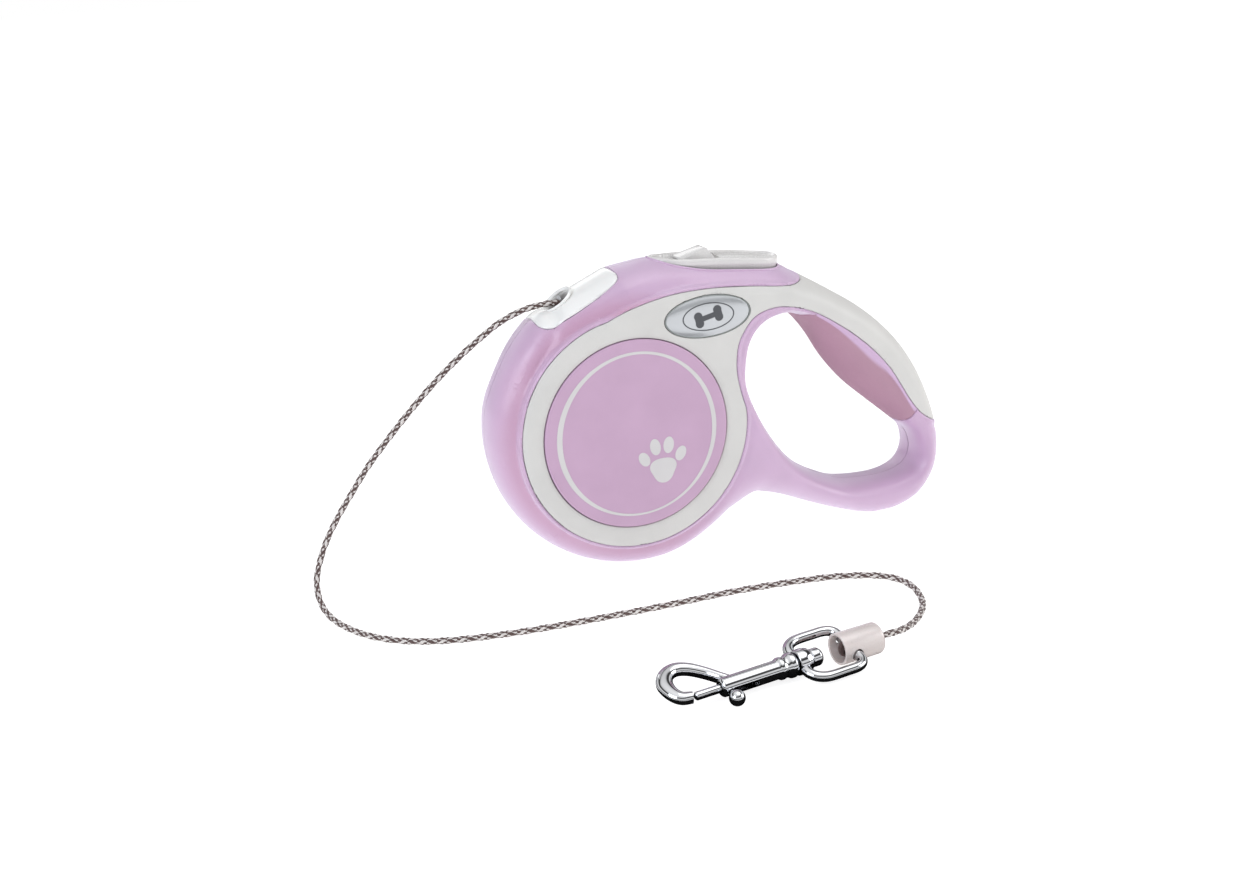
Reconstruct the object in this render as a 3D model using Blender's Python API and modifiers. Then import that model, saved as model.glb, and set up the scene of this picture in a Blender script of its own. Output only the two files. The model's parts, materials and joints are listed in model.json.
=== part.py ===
"""Retractable leash with a cord, a brake button, a return reel and a bolt snap.

The housing stands upright on its drum and on the bottom of its handle. +X runs
from the drum to the handle, +Z is up, and the left side faces -Y. The origin is
under the middle of the housing, on the surface it stands on. Numbers are in
millimetres and are scaled to metres when a shape is made.
"""

import math

import bmesh
import bpy
from mathutils import Matrix, Vector

MM = 0.001
GAP = 0.3                       # clearance between neighbouring pieces

# Housing
HALF_WIDTH = 14.5               # mid plane to the flat side
SPLIT = GAP / 2                 # each half stops this far from the mid plane
DRUM_CENTRE = (-28.4, 44.7)
DRUM_RADIUS = 45.2
DRUM_END = 2.5                  # the handle's form takes over from here on
SHOULDER = 9.0                  # how far the drum's rounded rim reaches inwards
RIM_POWER = 2.4                 # superellipse exponent of the rim's section
HANDLE_ROUND = 4.2              # edge radius of the handle
HANDLE_NARROWING = 0.32         # share of its width the handle loses at its low end
BEARING_CENTRE = (-32.3, 43.7)  # axis of the reel and of the labels
CAVITY_RADIUS = 36.6
CAVITY_HALF_WIDTH = 10.4

# Side panels, labels and badges
PANEL_DEPTH = 2.0
LABEL_RADIUS = 27.7
LABEL_PROUD = 0.6
BADGE_CENTRE = (-7.7, 74.9)
BADGE_SIZE = (13.4, 6.1)        # semi-axes

# Brake button
PRESS_TILT = math.radians(8)    # the button's top falls this much towards the handle
BUTTON_HALF_WIDTH = 7.0
LOCK_TRAVEL = 4.0

# Reel
REEL_RADIUS = 34.0
TEETH = 12
NOTCH_ANGLE = math.radians(67.5)
NOTCH_WIDTH = 6.0
NOTCH_DEPTH = 3.0
ARBOR_RADIUS = 3.0
WINDING = (12.4, 22.4)          # inner and outer radius of the stored cord

# Cord, sleeve and hook
CORD_RADIUS = 1.0
MOUTH = (-48.5, 82.2)           # middle of the nozzle's mouth, in X and Z
CORD_TANGENT = (-19.5, 63.3)    # where the inner run leaves the winding
SLEEVE_END = (1.0, -96.2, 4.25)
SLEEVE_RADIUS = 4.25
SLEEVE_LENGTH = 12.5
SLEEVE_HEADING = math.radians(8)
RING_TILT = math.radians(15)    # the ring's far side lies higher than its near side
RING_BAR = 8.8                  # distance of the ring's bar from the sleeve's closed end
HOOK_DROP = math.radians(1.2)
RING_WIRE = 1.35
BOLT_TRAVEL = 7.0
KNOB_AT = 45.8                  # the thumb knob's distance from the sleeve's closed end

FREE_CORD_ROUTE = [
    (-49.6, 0, 82.2), (-52.6, 0, 82.3), (-56.6, 0, 81.9), (-59.9, 0, 81.2),
    (-64.2, 0.2, 79.6), (-68.2, 0.5, 77.5), (-76.8, 1.2, 71.6), (-85.3, 2.5, 64.5),
    (-93.8, 4, 56.2), (-100.6, 6, 48.5), (-106.9, 8, 40.8), (-112.2, 10, 33),
    (-117.6, 12, 24.6), (-121.6, 12.5, 17.6), (-124.7, 11.5, 10.8), (-126, 9, 6.4),
    (-126, 4, 2.8), (-124.5, -4, 1.1), (-120.7, -15, 1), (-114.9, -24, 1), (-107, -30.7, 1),
    (-97, -35.3, 1), (-82, -38.8, 1), (-64, -40.8, 1), (-39, -42.2, 1), (-14, -42.8, 1),
    (9, -46, 1), (20, -49.8, 1), (26.3, -54.4, 1), (29, -60, 1), (29, -67, 1),
    (26.1, -76, 1), (21.5, -82.5, 1), (16, -88, 1.6), (10.5, -92.4, 2.8), (5.5, -95.1, 3.9),
    (1.2, -96.17, 4.25), (-0.5, -96.41, 4.25),
]

# Outlines in X and Z, seen from the left side
HANDLE_OUTLINE = [
    (-28.4, 89.5), (-15, 89.0), (-2, 87.4), (11, 85.5), (22, 83.5), (28.6, 79.7), (37, 74.4),
    (46, 68.3), (53.5, 61.8), (60, 55), (65.8, 46.4), (70, 37), (72.6, 28), (73.6, 20),
    (72.8, 12.5), (69.8, 6.6), (65, 2.6), (58, 0.4), (51, -0.2), (44.5, 0.9), (36, 3.7),
    (27, 6.9), (17, 10.7), (9, 12.6), (1.5, 10.6), (-8, 6), (-20, 14), (-26, 44.7), (-32, 80),
]
HOLE_OUTLINE = [
    (5.4, 55), (7, 63.5), (11, 68.4), (17, 70.2), (23, 69.3), (27.4, 65.9), (30.6, 61.2),
    (34.7, 53.3), (41.3, 44.8), (49.7, 36.9), (58.6, 29), (63.2, 24.4), (64.6, 18.6),
    (62.6, 14), (57.5, 11.8), (50, 11.3), (40, 12.4), (33, 15.2), (26, 19.3), (20, 24.6),
    (14.3, 32), (9.4, 40.7), (6.3, 48.5),
]
PANEL_RING = ((-31.7, 43.6), 34.8)
PANEL_INNER_EDGE = [
    (2.9, 45.5), (1.6, 50.5), (0.6, 57), (1.2, 63.6), (3, 67.8), (6.4, 71.9), (10.6, 73.8),
    (16, 74.2), (22.4, 72.6),
]
GRIP_LINE = [
    (22.4, 72.6), (28.8, 69.6), (35.3, 65.3), (41.8, 60.3), (48.2, 54.3), (53.4, 48), (57, 42.4),
    (60.4, 36.8), (64, 32.2), (68.6, 29), (76, 26),
]
PANEL_UPPER_EDGE = [
    (90, 50), (60, 84), (36, 90), (30, 84), (26.8, 81), (22.5, 80), (16.2, 80.3), (9.8, 81.2),
    (3.5, 82), (-3, 82.6), (-10, 82.9), (-17.5, 82.8), (-25, 81.9),
]
BACK_START = 27.6               # from here on the panel reaches the mid plane
PAD_END = 62.5                  # lower end of the grip insert
PAD_INNER_EDGE = [(60.8, 30), (56, 26), (44, 32), (32, 46), (24, 60), (22.4, 66), (24.6, 69.4)]
NOZZLE_LOWER_EDGE = [
    (-57.6, 77.6), (-54, 76.4), (-49.8, 76.6), (-44.8, 78.4), (-39.4, 81.4), (-35, 84.9),
    (-32.2, 88.2), (-31.6, 90.4),
]
NOZZLE_LAND = [(-32.2, 90.1), (-45, 84.6), (-57.8, 79)]
BUTTON_OUTLINE = [
    (-19.5, 89.8), (-17.5, 90.8), (-12, 91), (-6, 90.7), (0, 90.2), (6, 89.5), (15, 88.1),
    (20.4, 87), (21.9, 85.8), (21.7, 82.6), (20.8, 81.4), (0, 84.9), (-14, 87), (-18.4, 88.3),
]
POCKET_OUTLINE = [
    (-20.5, 92), (-20.9, 85.6), (-19.3, 83.9), (-14.6, 82.7), (-0.6, 80.6), (20.4, 77),
    (22.4, 78.2), (22.5, 92),
]
LOCK_ENDS = (-12.2, -0.4)
LOCK_RIDGE = [(-0.4, 90.4), (-3.4, 93.5), (-5.2, 93.5), (-12.2, 90.7)]
TROUGH_FLOOR = (-7, 89)         # a point of the floor that the lock tab slides on
GRIP_CHANNEL = [(20, 14), (28, 11), (37, 8), (50, 5.6), (60, 6.4), (67, 10.5), (69, 19), (69, 28)]


# ---------------------------------------------------------------- shape helpers

def linked(name, mesh, collection):
    """A new object for the mesh, in the collection."""
    piece = bpy.data.objects.new(name, mesh)
    collection.objects.link(piece)
    return piece


def baked(source, name, collection):
    """The evaluated shape of an object as a welded mesh in world space."""
    depsgraph = bpy.context.evaluated_depsgraph_get()
    mesh = bpy.data.meshes.new_from_object(source.evaluated_get(depsgraph))
    mesh.name = name
    mesh.transform(source.matrix_world)
    shape = bmesh.new()
    shape.from_mesh(mesh)
    bmesh.ops.remove_doubles(shape, verts=shape.verts, dist=2e-6)
    bmesh.ops.recalc_face_normals(shape, faces=shape.faces)
    shape.to_mesh(mesh)
    shape.free()
    bpy.data.objects.remove(source)
    return linked(name, mesh, collection)


def prism(name, loops, low, high, collection, edge=0.0, offset=0.0, smooth=4):
    """Outlines in X and Z filled and run from Y=low to Y=high; smooth=0 keeps corners."""
    curve = bpy.data.curves.new(name, "CURVE")
    curve.dimensions = "2D"
    curve.fill_mode = "BOTH"
    curve.extrude = ((high - low) / 2 - edge) * MM
    curve.bevel_depth = edge * MM
    curve.bevel_resolution = 2
    curve.offset = (offset - edge) * MM
    curve.resolution_u = max(smooth, 1)
    for points in loops:
        spline = curve.splines.new("BEZIER" if smooth else "POLY")
        knots = spline.bezier_points if smooth else spline.points
        knots.add(len(points) - 1)
        for knot, (x, z) in zip(knots, points):
            if smooth:
                knot.co = (x * MM, z * MM, 0)
                knot.handle_left_type = knot.handle_right_type = "AUTO"
            else:
                knot.co = (x * MM, z * MM, 0, 1)
        spline.use_cyclic_u = True
    piece = linked(name, curve, collection)
    piece.matrix_world = Matrix.Translation((0, (low + high) / 2 * MM, 0)) @ Matrix.Rotation(
        math.pi / 2, 4, "X")
    bpy.context.view_layer.update()
    return baked(piece, name, collection)


def turned(name, profile, place, collection, closed=False, steps=32):
    """A profile of (radius, height) pairs, top to bottom, turned about the local Z axis."""
    mesh = bpy.data.meshes.new(name)
    count = len(profile)
    edges = [(i, i + 1) for i in range(count - 1)]
    if closed:
        edges.append((count - 1, 0))
    mesh.from_pydata([(r * MM, 0, z * MM) for r, z in profile], edges, [])
    piece = linked(name, mesh, collection)
    screw = piece.modifiers.new("turn", "SCREW")
    screw.steps = screw.render_steps = steps
    screw.use_merge_vertices = True
    screw.merge_threshold = 0.00001
    piece.matrix_world = place
    bpy.context.view_layer.update()
    return baked(piece, name, collection)


def tube(name, points, radius, collection, closed=False, sides=2):
    """A round wire of the given radius along points in millimetres."""
    curve = bpy.data.curves.new(name, "CURVE")
    curve.dimensions = "3D"
    curve.bevel_depth = radius * MM
    curve.bevel_resolution = sides
    curve.use_fill_caps = not closed
    spline = curve.splines.new("POLY")
    spline.points.add(len(points) - 1)
    for knot, point in zip(spline.points, points):
        knot.co = (*(Vector(point) * MM), 1)
    spline.use_cyclic_u = closed
    piece = linked(name, curve, collection)
    bpy.context.view_layer.update()
    return baked(piece, name, collection)


def box(name, low, high, collection):
    """A box between two corners in millimetres."""
    mesh = bpy.data.meshes.new(name)
    shape = bmesh.new()
    bmesh.ops.create_cube(shape, size=1.0)
    size = [(b - a) * MM for a, b in zip(low, high)]
    middle = [(a + b) / 2 * MM for a, b in zip(low, high)]
    bmesh.ops.scale(shape, vec=size, verts=shape.verts)
    bmesh.ops.translate(shape, vec=middle, verts=shape.verts)
    shape.to_mesh(mesh)
    shape.free()
    return linked(name, mesh, collection)


def copy_of(source, name, collection):
    """A second object with its own copy of the mesh."""
    return linked(name, source.data.copy(), collection)


def combine(piece, operation, *tools):
    """Adds one exact Boolean for each tool, in order."""
    for tool in tools:
        step = piece.modifiers.new(tool.name, "BOOLEAN")
        step.operation = operation
        step.solver = "EXACT"
        step.object = tool
    return piece


def settled(piece, name, collection):
    """The piece with its Booleans applied, as a new object."""
    bpy.context.view_layer.update()
    return baked(piece, name, collection)


def smooth_path(points, spacing, closed=False):
    """Points about a spacing apart on a Catmull-Rom curve through the given points."""
    knots = [Vector(p) for p in points]
    count = len(knots)
    path = []
    spans = count if closed else count - 1
    for i in range(spans):
        if closed:
            a, b, c, d = (knots[(i + k) % count] for k in (-1, 0, 1, 2))
        else:
            b, c = knots[i], knots[i + 1]
            a = knots[i - 1] if i else b * 2 - c
            d = knots[i + 2] if i + 2 < count else c * 2 - b
        pieces = max(1, round((c - b).length / spacing))
        for k in range(pieces):
            t = k / pieces
            path.append(0.5 * (2 * b + (c - a) * t + (2 * a - 5 * b + 4 * c - d) * t * t
                               + (3 * b - a - 3 * c + d) * t * t * t))
    if not closed:
        path.append(knots[-1])
    return path


def helix(turns, start, length, radius, steps=8):
    """Points along a coil about the local Z axis."""
    count = turns * steps
    return [(radius * math.cos(2 * math.pi * i / steps), radius * math.sin(2 * math.pi * i / steps),
             start + length * i / count) for i in range(count + 1)]


def eased(points, spacing=3.6):
    """Outline points closer together, on a smooth curve through the given ones."""
    return [(p.x, p.y) for p in smooth_path([(x, z, 0) for x, z in points], spacing)]


def arc(centre, radius, start, end, count):
    """Points on a circle between two angles in degrees, both ends included."""
    angles = [math.radians(start + (end - start) * i / (count - 1)) for i in range(count)]
    return [(centre[0] + radius * math.cos(a), centre[1] + radius * math.sin(a)) for a in angles]


def along_y(centre, y=0.0):
    """Places a turned shape on an axis along Y through centre (x, z)."""
    return Matrix.Translation((centre[0] * MM, y * MM, centre[1] * MM)) @ UPRIGHT


def along(origin, direction):
    """Places a turned shape on an axis that leaves origin in the direction."""
    turn = Vector(direction).to_track_quat("Z", "Y").to_matrix().to_4x4()
    return Matrix.Translation(Vector(origin) * MM) @ turn


def cylinder(name, origin, direction, radius, length, collection, steps=20):
    """A closed cylinder that starts at origin and runs along the direction."""
    profile = [(0, length), (radius, length), (radius, 0), (0, 0)]
    return turned(name, profile, along(origin, direction), collection, steps=steps)


# ---------------------------------------------------------------- frames of the parts

PRESS = Vector((-math.sin(PRESS_TILT), 0, -math.cos(PRESS_TILT)))
BORE = Vector((MOUTH[0] - CORD_TANGENT[0], 0, MOUTH[1] - CORD_TANGENT[1])).normalized()


def sleeve_frame():
    """Local X from the sleeve's closed end to the hook, local Y to the far side."""
    heading = Vector((-math.cos(SLEEVE_HEADING), -math.sin(SLEEVE_HEADING), 0))
    level = Vector((-math.sin(SLEEVE_HEADING), math.cos(SLEEVE_HEADING), 0))
    far = level * math.cos(RING_TILT) + Vector((0, 0, math.sin(RING_TILT)))
    down = heading.cross(far)
    frame = Matrix((heading, far, down)).transposed().to_4x4()
    return Matrix.Translation(Vector(SLEEVE_END) * MM) @ frame


def hook_frame():
    """The sleeve's frame, dropped a little about the ring's bar."""
    bar = Matrix.Translation((RING_BAR * MM, 0, 0))
    return sleeve_frame() @ bar @ Matrix.Rotation(-HOOK_DROP, 4, "Y") @ bar.inverted()


ALONG_LOCAL_X = Matrix.Rotation(math.pi / 2, 4, "Y")
UPRIGHT = Matrix.Rotation(-math.pi / 2, 4, "X")


def spun(name, profile, frame, collection, closed=False, steps=20):
    """A shape turned about a frame's X axis, its heights measured along that axis."""
    return turned(name, profile, frame @ ALONG_LOCAL_X, collection, closed, steps)


def wire_in(name, flat_points, frame, radius, collection, spacing=1.7, closed=False):
    """A bent wire whose points lie in a frame's XY plane."""
    path = smooth_path([(x, y, 0) for x, y in flat_points], spacing, closed)
    piece = tube(name, path, radius, collection, closed)
    piece.data.transform(frame)
    return piece


# ---------------------------------------------------------------- housing

def rim_profile():
    """Section of the drum from the middle of one side, over the rim, to the other side."""
    steps = 8
    inner = DRUM_RADIUS - SHOULDER
    rim = []
    for i in range(steps + 1):
        angle = math.pi / 2 - math.pi * i / steps
        across = math.copysign(abs(math.sin(angle)) ** (2 / RIM_POWER), math.sin(angle))
        outward = max(math.cos(angle), 0) ** (2 / RIM_POWER)
        rim.append((inner + SHOULDER * outward, HALF_WIDTH * across))
    return [(0, HALF_WIDTH)] + rim + [(0, -HALF_WIDTH)]


def narrow(piece):
    """Makes the handle thinner towards its low outer end."""
    for vertex in piece.data.vertices:
        x, z = vertex.co.x / MM, vertex.co.z / MM
        t = min(max(((x - 10) * 0.75 + (55 - z) * 0.35) / 55, 0), 1)
        vertex.co.y *= 1 - HANDLE_NARROWING * t * t * (3 - 2 * t)


def housing_blank(guides):
    """The full outer form of the housing, with the finger hole and two flat feet."""
    drum = turned("drum_form", rim_profile(), along_y(DRUM_CENTRE), guides, steps=48)
    wide = HALF_WIDTH - 0.1
    handle = prism("handle_form", [HANDLE_OUTLINE, HOLE_OUTLINE], -wide, wide, guides,
                   edge=HANDLE_ROUND, smooth=2)
    narrow(handle)
    beyond = box("drum_cut", (DRUM_END, -30, -20), (100, 30, 120), guides)
    floor = box("floor_cut", (-100, -30, -20), (100, 30, 0), guides)
    combine(drum, "DIFFERENCE", beyond)
    combine(drum, "UNION", handle)
    combine(drum, "DIFFERENCE", floor)
    return settled(drum, "housing_blank", guides)


def panel_outline():
    """The side panel: a ring round the label that runs on along the top of the handle."""
    ring = arc(PANEL_RING[0], PANEL_RING[1], 101, 360, 34)
    return ring + eased(PANEL_INNER_EDGE)[:-1] + eased(GRIP_LINE) + eased(PANEL_UPPER_EDGE, 5)


def back_outline():
    """Where the panel wraps round the back of the handle."""
    line = [point for point in eased(GRIP_LINE) if point[0] > BACK_START + 0.5]
    return [(BACK_START, 95), (BACK_START, 70.2)] + line + [(95, 26), (95, 95)]


def pad_outline():
    """The grip insert, seen from the side."""
    line = [point for point in eased(GRIP_LINE) if BACK_START < point[0] < PAD_END]
    return line + PAD_INNER_EDGE


def side_span(side, near, far):
    """The Y range between two distances from the mid plane, on one side."""
    return (side * far, side * near) if side < 0 else (side * near, side * far)


def panel_cutter(name, side, offset, depth, split, guides):
    """The space of a side panel with the back of the handle."""
    low, high = side_span(side, HALF_WIDTH - depth, 20)
    plate = prism(name + "_plate", [panel_outline()], low, high, guides, offset=offset, smooth=0)
    low, high = side_span(side, split, 20.2)
    back = prism(name + "_back", [back_outline()], low, high, guides, offset=offset, smooth=0)
    combine(plate, "UNION", back)
    return settled(plate, name, guides)


def shell_and_panel(side, blank, shared, parts, guides):
    """One half of the housing with its side panel, label and badge."""
    word = "left" if side < 0 else "right"
    low, high = side_span(side, SPLIT, 25)
    half = box(word + "_half", (-100, low, -10), (100, high, 120), guides)
    inner = panel_cutter(word + "_panel_room", side, GAP, PANEL_DEPTH + GAP, -5, guides)
    shell = copy_of(blank, word + "_shell", parts)
    combine(shell, "INTERSECT", half)
    combine(shell, "DIFFERENCE", inner, *shared["shell_cuts"])
    trim = copy_of(blank, word + "_trim", parts)
    space = panel_cutter(word + "_panel_space", side, 0, PANEL_DEPTH, SPLIT, guides)
    combine(trim, "INTERSECT", space)
    combine(trim, "DIFFERENCE", shared["label_hole"], shared["badge_hole"])
    top = HALF_WIDTH + LABEL_PROUD
    base = HALF_WIDTH - PANEL_DEPTH
    disc = [(0, top), (LABEL_RADIUS - 1.2, top), (LABEL_RADIUS, top - 0.7), (LABEL_RADIUS, base),
            (0, base)]
    turn = Matrix.Rotation(0 if side > 0 else math.pi, 4, "X")
    label = turned(word + "_label", disc, along_y(BEARING_CENTRE) @ turn, parts, steps=40)
    badge = badge_dome(word, side, parts)
    return shell, trim, label, badge


def badge_dome(word, side, parts):
    """An oval domed badge."""
    top = HALF_WIDTH + 0.5
    base = HALF_WIDTH - PANEL_DEPTH
    dome = [(0, top), (0.5, top - 0.08), (0.85, top - 0.45), (1, top - 0.9), (1, base), (0, base)]
    turn = Matrix.Rotation(0 if side > 0 else math.pi, 4, "X")
    stretch = Matrix.Diagonal((BADGE_SIZE[0], BADGE_SIZE[1], 1, 1))
    return turned(word + "_badge", dome, along_y(BADGE_CENTRE) @ turn @ stretch, parts, steps=32)


def ellipse(centre, size, count):
    """Points round an upright ellipse."""
    angles = [2 * math.pi * i / count for i in range(count)]
    return [(centre[0] + size[0] * math.cos(a), centre[1] + size[1] * math.sin(a)) for a in angles]


def shared_cuts(guides):
    """The spaces that both halves of the housing leave for the works."""
    pad_room = prism("pad_room", [pad_outline()], -20.4, 20.4, guides, smooth=0)
    nozzle_room = prism("nozzle_room", [eased(NOZZLE_LOWER_EDGE) + [(-31.6, 99), (-62, 99),
                        (-62, 79)]], -20.6, 20.6, guides, offset=GAP, smooth=0)
    depth = CAVITY_HALF_WIDTH
    cavity = turned("reel_room", [(0, depth), (CAVITY_RADIUS, depth), (CAVITY_RADIUS, -depth),
                                  (0, -depth)], along_y(BEARING_CENTRE), guides, steps=40)
    pocket = prism("button_pocket", [POCKET_OUTLINE], -BUTTON_HALF_WIDTH - 0.4,
                   BUTTON_HALF_WIDTH + 0.4, guides, smooth=0)
    channel = tube("grip_channel", smooth_path([(x, 0, z) for x, z in GRIP_CHANNEL], 4), 2.4,
                   guides)
    bore = cylinder("shell_bore", (MOUTH[0], 0, MOUTH[1]), -BORE, 2.3, 13, guides)
    well = cylinder("spring_well", SPRING_FOOT - PRESS * 9, PRESS, 2.7, 9, guides)
    return [pad_room, nozzle_room, cavity, pocket, channel, bore, well, pawl_room(guides)]


SPRING_FOOT = Vector((7.4, 0, 73.2))
PAWL_TIP = Vector((-18.8, -2.0, 77.5))
PAWL_WIDTH = 2.6
PAWL_LENGTH = 9.4


def pawl_room(guides):
    """The slot in the left half that the pawl runs in."""
    slot = box("pawl_room", (-1.9, -1.6, -3), (1.9, 2.0, 9), guides)
    slot.data.transform(pawl_frame())
    return slot


def pawl_frame():
    """Local Z up along the press axis, from the pawl's tip."""
    return Matrix.Translation(PAWL_TIP * MM) @ Matrix.Rotation(PRESS_TILT, 4, "Y")


def screws(parts, guides):
    """Four case screws driven from the right side, and the holes they need."""
    places = [(-3, 77.0), (-3.5, 12.5), (27.5, 11.3), (66.2, 9.4)]
    head_tops = [11.8, 11.2, 10.2, 8.2]
    reaches = [17, 17, 17, 14]      # the handle is thinner at the last one
    holes = []
    for i, (place, top, reach) in enumerate(zip(places, head_tops, reaches), 1):
        profile = [(0, 0), (2.1, 0), (2.1, -0.5), (1.1, -1.7), (1.1, -reach), (0, -reach - 0.6)]
        room = [(0, 6), (2.4, 6), (2.4, -0.7), (1.4, -2), (1.4, -reach - 0.4), (0, -reach - 1)]
        drop = 0.8 if i > 1 else 0
        holes.append(turned(f"screw_hole_{i}", room, along_y(place, top - drop), guides, steps=16))
        screw = turned(f"screw_{i}", profile, along_y(place, top - drop), guides, steps=16)
        cross = box(f"drive_{i}", (place[0] - 1.2, top - drop - 0.7, place[1] - 0.3),
                    (place[0] + 1.2, top + 1, place[1] + 0.3), guides)
        part = settled(combine(screw, "DIFFERENCE", cross), f"screw_{i}", parts)
        paint(part, "steel")
    return holes


def nozzle(blank, parts, guides):
    """The cord outlet: a cap over the rim with a funnel mouth."""
    outline = eased(NOZZLE_LOWER_EDGE) + NOZZLE_LAND
    space = prism("nozzle_space", [outline], -20.2, 20.2, guides, smooth=0)
    piece = copy_of(blank, "nozzle", parts)
    mouth = Vector((MOUTH[0], 0, MOUTH[1]))
    bore = cylinder("nozzle_bore", mouth + BORE * 4, -BORE, 1.7, 20, guides)
    funnel = turned("nozzle_funnel", [(0, 3), (4.6, 3), (2.6, 0), (1.7, -2), (0, -2)],
                    along(mouth, BORE), guides, steps=20)
    combine(piece, "INTERSECT", space)
    combine(piece, "DIFFERENCE", bore, funnel)
    return piece


def grip_pad(blank, parts, guides):
    """The soft insert on the inner face of the handle."""
    space = prism("pad_space", [pad_outline()], -20.1, 20.1, guides, offset=-GAP, smooth=0)
    return combine(copy_of(blank, "grip_pad", parts), "INTERSECT", space)


# ---------------------------------------------------------------- brake

def trough_height(x):
    """Height of the lock tab's sliding floor, parallel to the button's top."""
    return TROUGH_FLOOR[1] - math.tan(PRESS_TILT) * (x - TROUGH_FLOOR[0])


def brake(parts, guides):
    """Button, lock tab, pawl and return spring."""
    button = prism("brake_button", [BUTTON_OUTLINE], -BUTTON_HALF_WIDTH, BUTTON_HALF_WIDTH, parts,
                   edge=0.9, smooth=2)
    first, last = LOCK_ENDS[0] - LOCK_TRAVEL - 0.7, LOCK_ENDS[1] + 0.4
    space = [(first, trough_height(first)), (first, 96), (last, 96), (last, trough_height(last))]
    trough = prism("lock_trough", [space], -4.4, 4.4, guides, smooth=0)
    combine(button, "DIFFERENCE", trough)
    base = [(x, trough_height(x) + GAP) for x in LOCK_ENDS]
    lock = prism("lock_tab", [base + LOCK_RIDGE], -4.0, 4.0, parts, smooth=0)
    pawl = box("brake_pawl", (-PAWL_WIDTH / 2, -1.2, 0), (PAWL_WIDTH / 2, 1.2, PAWL_LENGTH), parts)
    pawl.data.transform(pawl_frame())
    coil = helix(turns=6, start=0.5, length=8.7, radius=1.85)
    spring = tube("button_spring", coil, 0.22, parts, sides=1)
    spring.data.transform(along(SPRING_FOOT, -PRESS))
    return button, lock, pawl, spring


# ---------------------------------------------------------------- reel

def ratchet_outline():
    """A disc with a notch at each multiple of the tooth pitch."""
    points = []
    for i in range(TEETH):
        middle = NOTCH_ANGLE + 2 * math.pi * i / TEETH
        half = NOTCH_WIDTH / 2 / REEL_RADIUS
        pitch = 2 * math.pi / TEETH
        for radius, shift in ((REEL_RADIUS - NOTCH_DEPTH, -half), (REEL_RADIUS - NOTCH_DEPTH, half),
                              (REEL_RADIUS, half), (REEL_RADIUS, pitch / 2 - half),
                              (REEL_RADIUS, pitch - half)):
            angle = middle + shift
            points.append((BEARING_CENTRE[0] + radius * math.cos(angle),
                           BEARING_CENTRE[1] + radius * math.sin(angle)))
    return points


def reel(parts, guides):
    """Spool: cord groove on the right, ratchet in the middle, spring cup on the left."""
    bore = ARBOR_RADIUS + GAP
    profile = [(bore, 9.2), (30, 9.2), (30, 8.2), (12, 8.2), (12, -1.0), (28, -1.0), (28, -3.0),
               (26, -3.0), (26, -8.8), (24.6, -8.8), (24.6, -3.0), (bore, -3.0)]
    body = turned("spool_form", profile, along_y(BEARING_CENTRE), guides, closed=True, steps=40)
    teeth = prism("ratchet_form", [ratchet_outline()], -3.2, -0.8, guides, smooth=0)
    hole = cylinder("reel_bore", (BEARING_CENTRE[0], -20, BEARING_CENTRE[1]), (0, 1, 0), bore, 40,
                    guides, steps=40)
    combine(teeth, "DIFFERENCE", hole)
    combine(body, "UNION", settled(teeth, "ratchet", guides))
    return settled(body, "reel", parts)


def reel_works(parts):
    """Everything else on the reel's axis."""
    axis = along_y(BEARING_CENTRE)
    cover = turned("reel_cover", [(4.2, -9.1), (26, -9.1), (26, -9.9), (4.2, -9.9)], axis, parts,
                   closed=True, steps=40)
    arbor = turned("spring_arbor", [(0, 10.1), (2.4, 10.1), (ARBOR_RADIUS, 9.6), (ARBOR_RADIUS, -9.6),
                                    (2.4, -10.1), (0, -10.1)], axis, parts, steps=20)
    left = turned("left_washer", [(3.3, -8.0), (7, -8.0), (7, -8.7), (3.3, -8.7)], axis, parts,
                  closed=True, steps=24)
    right = turned("right_washer", [(3.3, 10.2), (7, 10.2), (7, 9.5), (3.3, 9.5)], axis, parts,
                   closed=True, steps=24)
    inner, outer = WINDING
    wound = turned("cord_winding", [(inner, 7.6), (outer, 7.9), (outer + 0.3, 3.6), (outer, -0.6),
                                    (inner, -0.6)], axis, parts, closed=True, steps=36)
    return cover, arbor, left, right, wound


def mainspring(parts):
    """Flat spiral between the arbor and the wall of the spring cup."""
    turns, inner, outer, strip, steps = 6, 4.6, 23.6, 0.5, 16
    count = turns * steps
    coil = [(2 * math.pi * i / steps, inner + (outer - inner) * i / count)
            for i in range(count + 1)]
    edges = coil + [(angle, radius + strip) for angle, radius in reversed(coil)]
    outline = [(BEARING_CENTRE[0] + radius * math.cos(angle),
                BEARING_CENTRE[1] + radius * math.sin(angle)) for angle, radius in edges]
    return prism("mainspring", [outline], -7.6, -3.6, parts, smooth=0)


# ---------------------------------------------------------------- cord, sleeve and hook

def cords(parts):
    """The inner run, the free cord and the loop round the ring's bar."""
    start = Vector((CORD_TANGENT[0], 3.7, CORD_TANGENT[1] + 0.6))
    end = Vector((MOUTH[0], 0, MOUTH[1])) + BORE * 0.6
    inside = start.lerp(end, 0.985)
    inner = tube("cord_inner_run", [start.lerp(inside, i / 6) for i in range(7)], CORD_RADIUS, parts)
    free = tube("free_cord", smooth_path(FREE_CORD_ROUTE, 4.6), CORD_RADIUS, parts)
    frame = sleeve_frame()
    bend, throat, neck = 2.45, 1.0, 4.3
    loop = [(RING_BAR + bend * math.cos(a), 0, bend * math.sin(a))
            for a in (math.radians(-100 + 200 * i / 12) for i in range(13))]
    loop += [(neck + throat * math.cos(a), 0, throat * math.sin(a))
             for a in (math.radians(110 + 140 * i / 6) for i in range(7))]
    end_loop = tube("cord_loop", loop, 0.85, parts, closed=True)
    end_loop.data.transform(frame)
    return inner, free, end_loop


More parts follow.
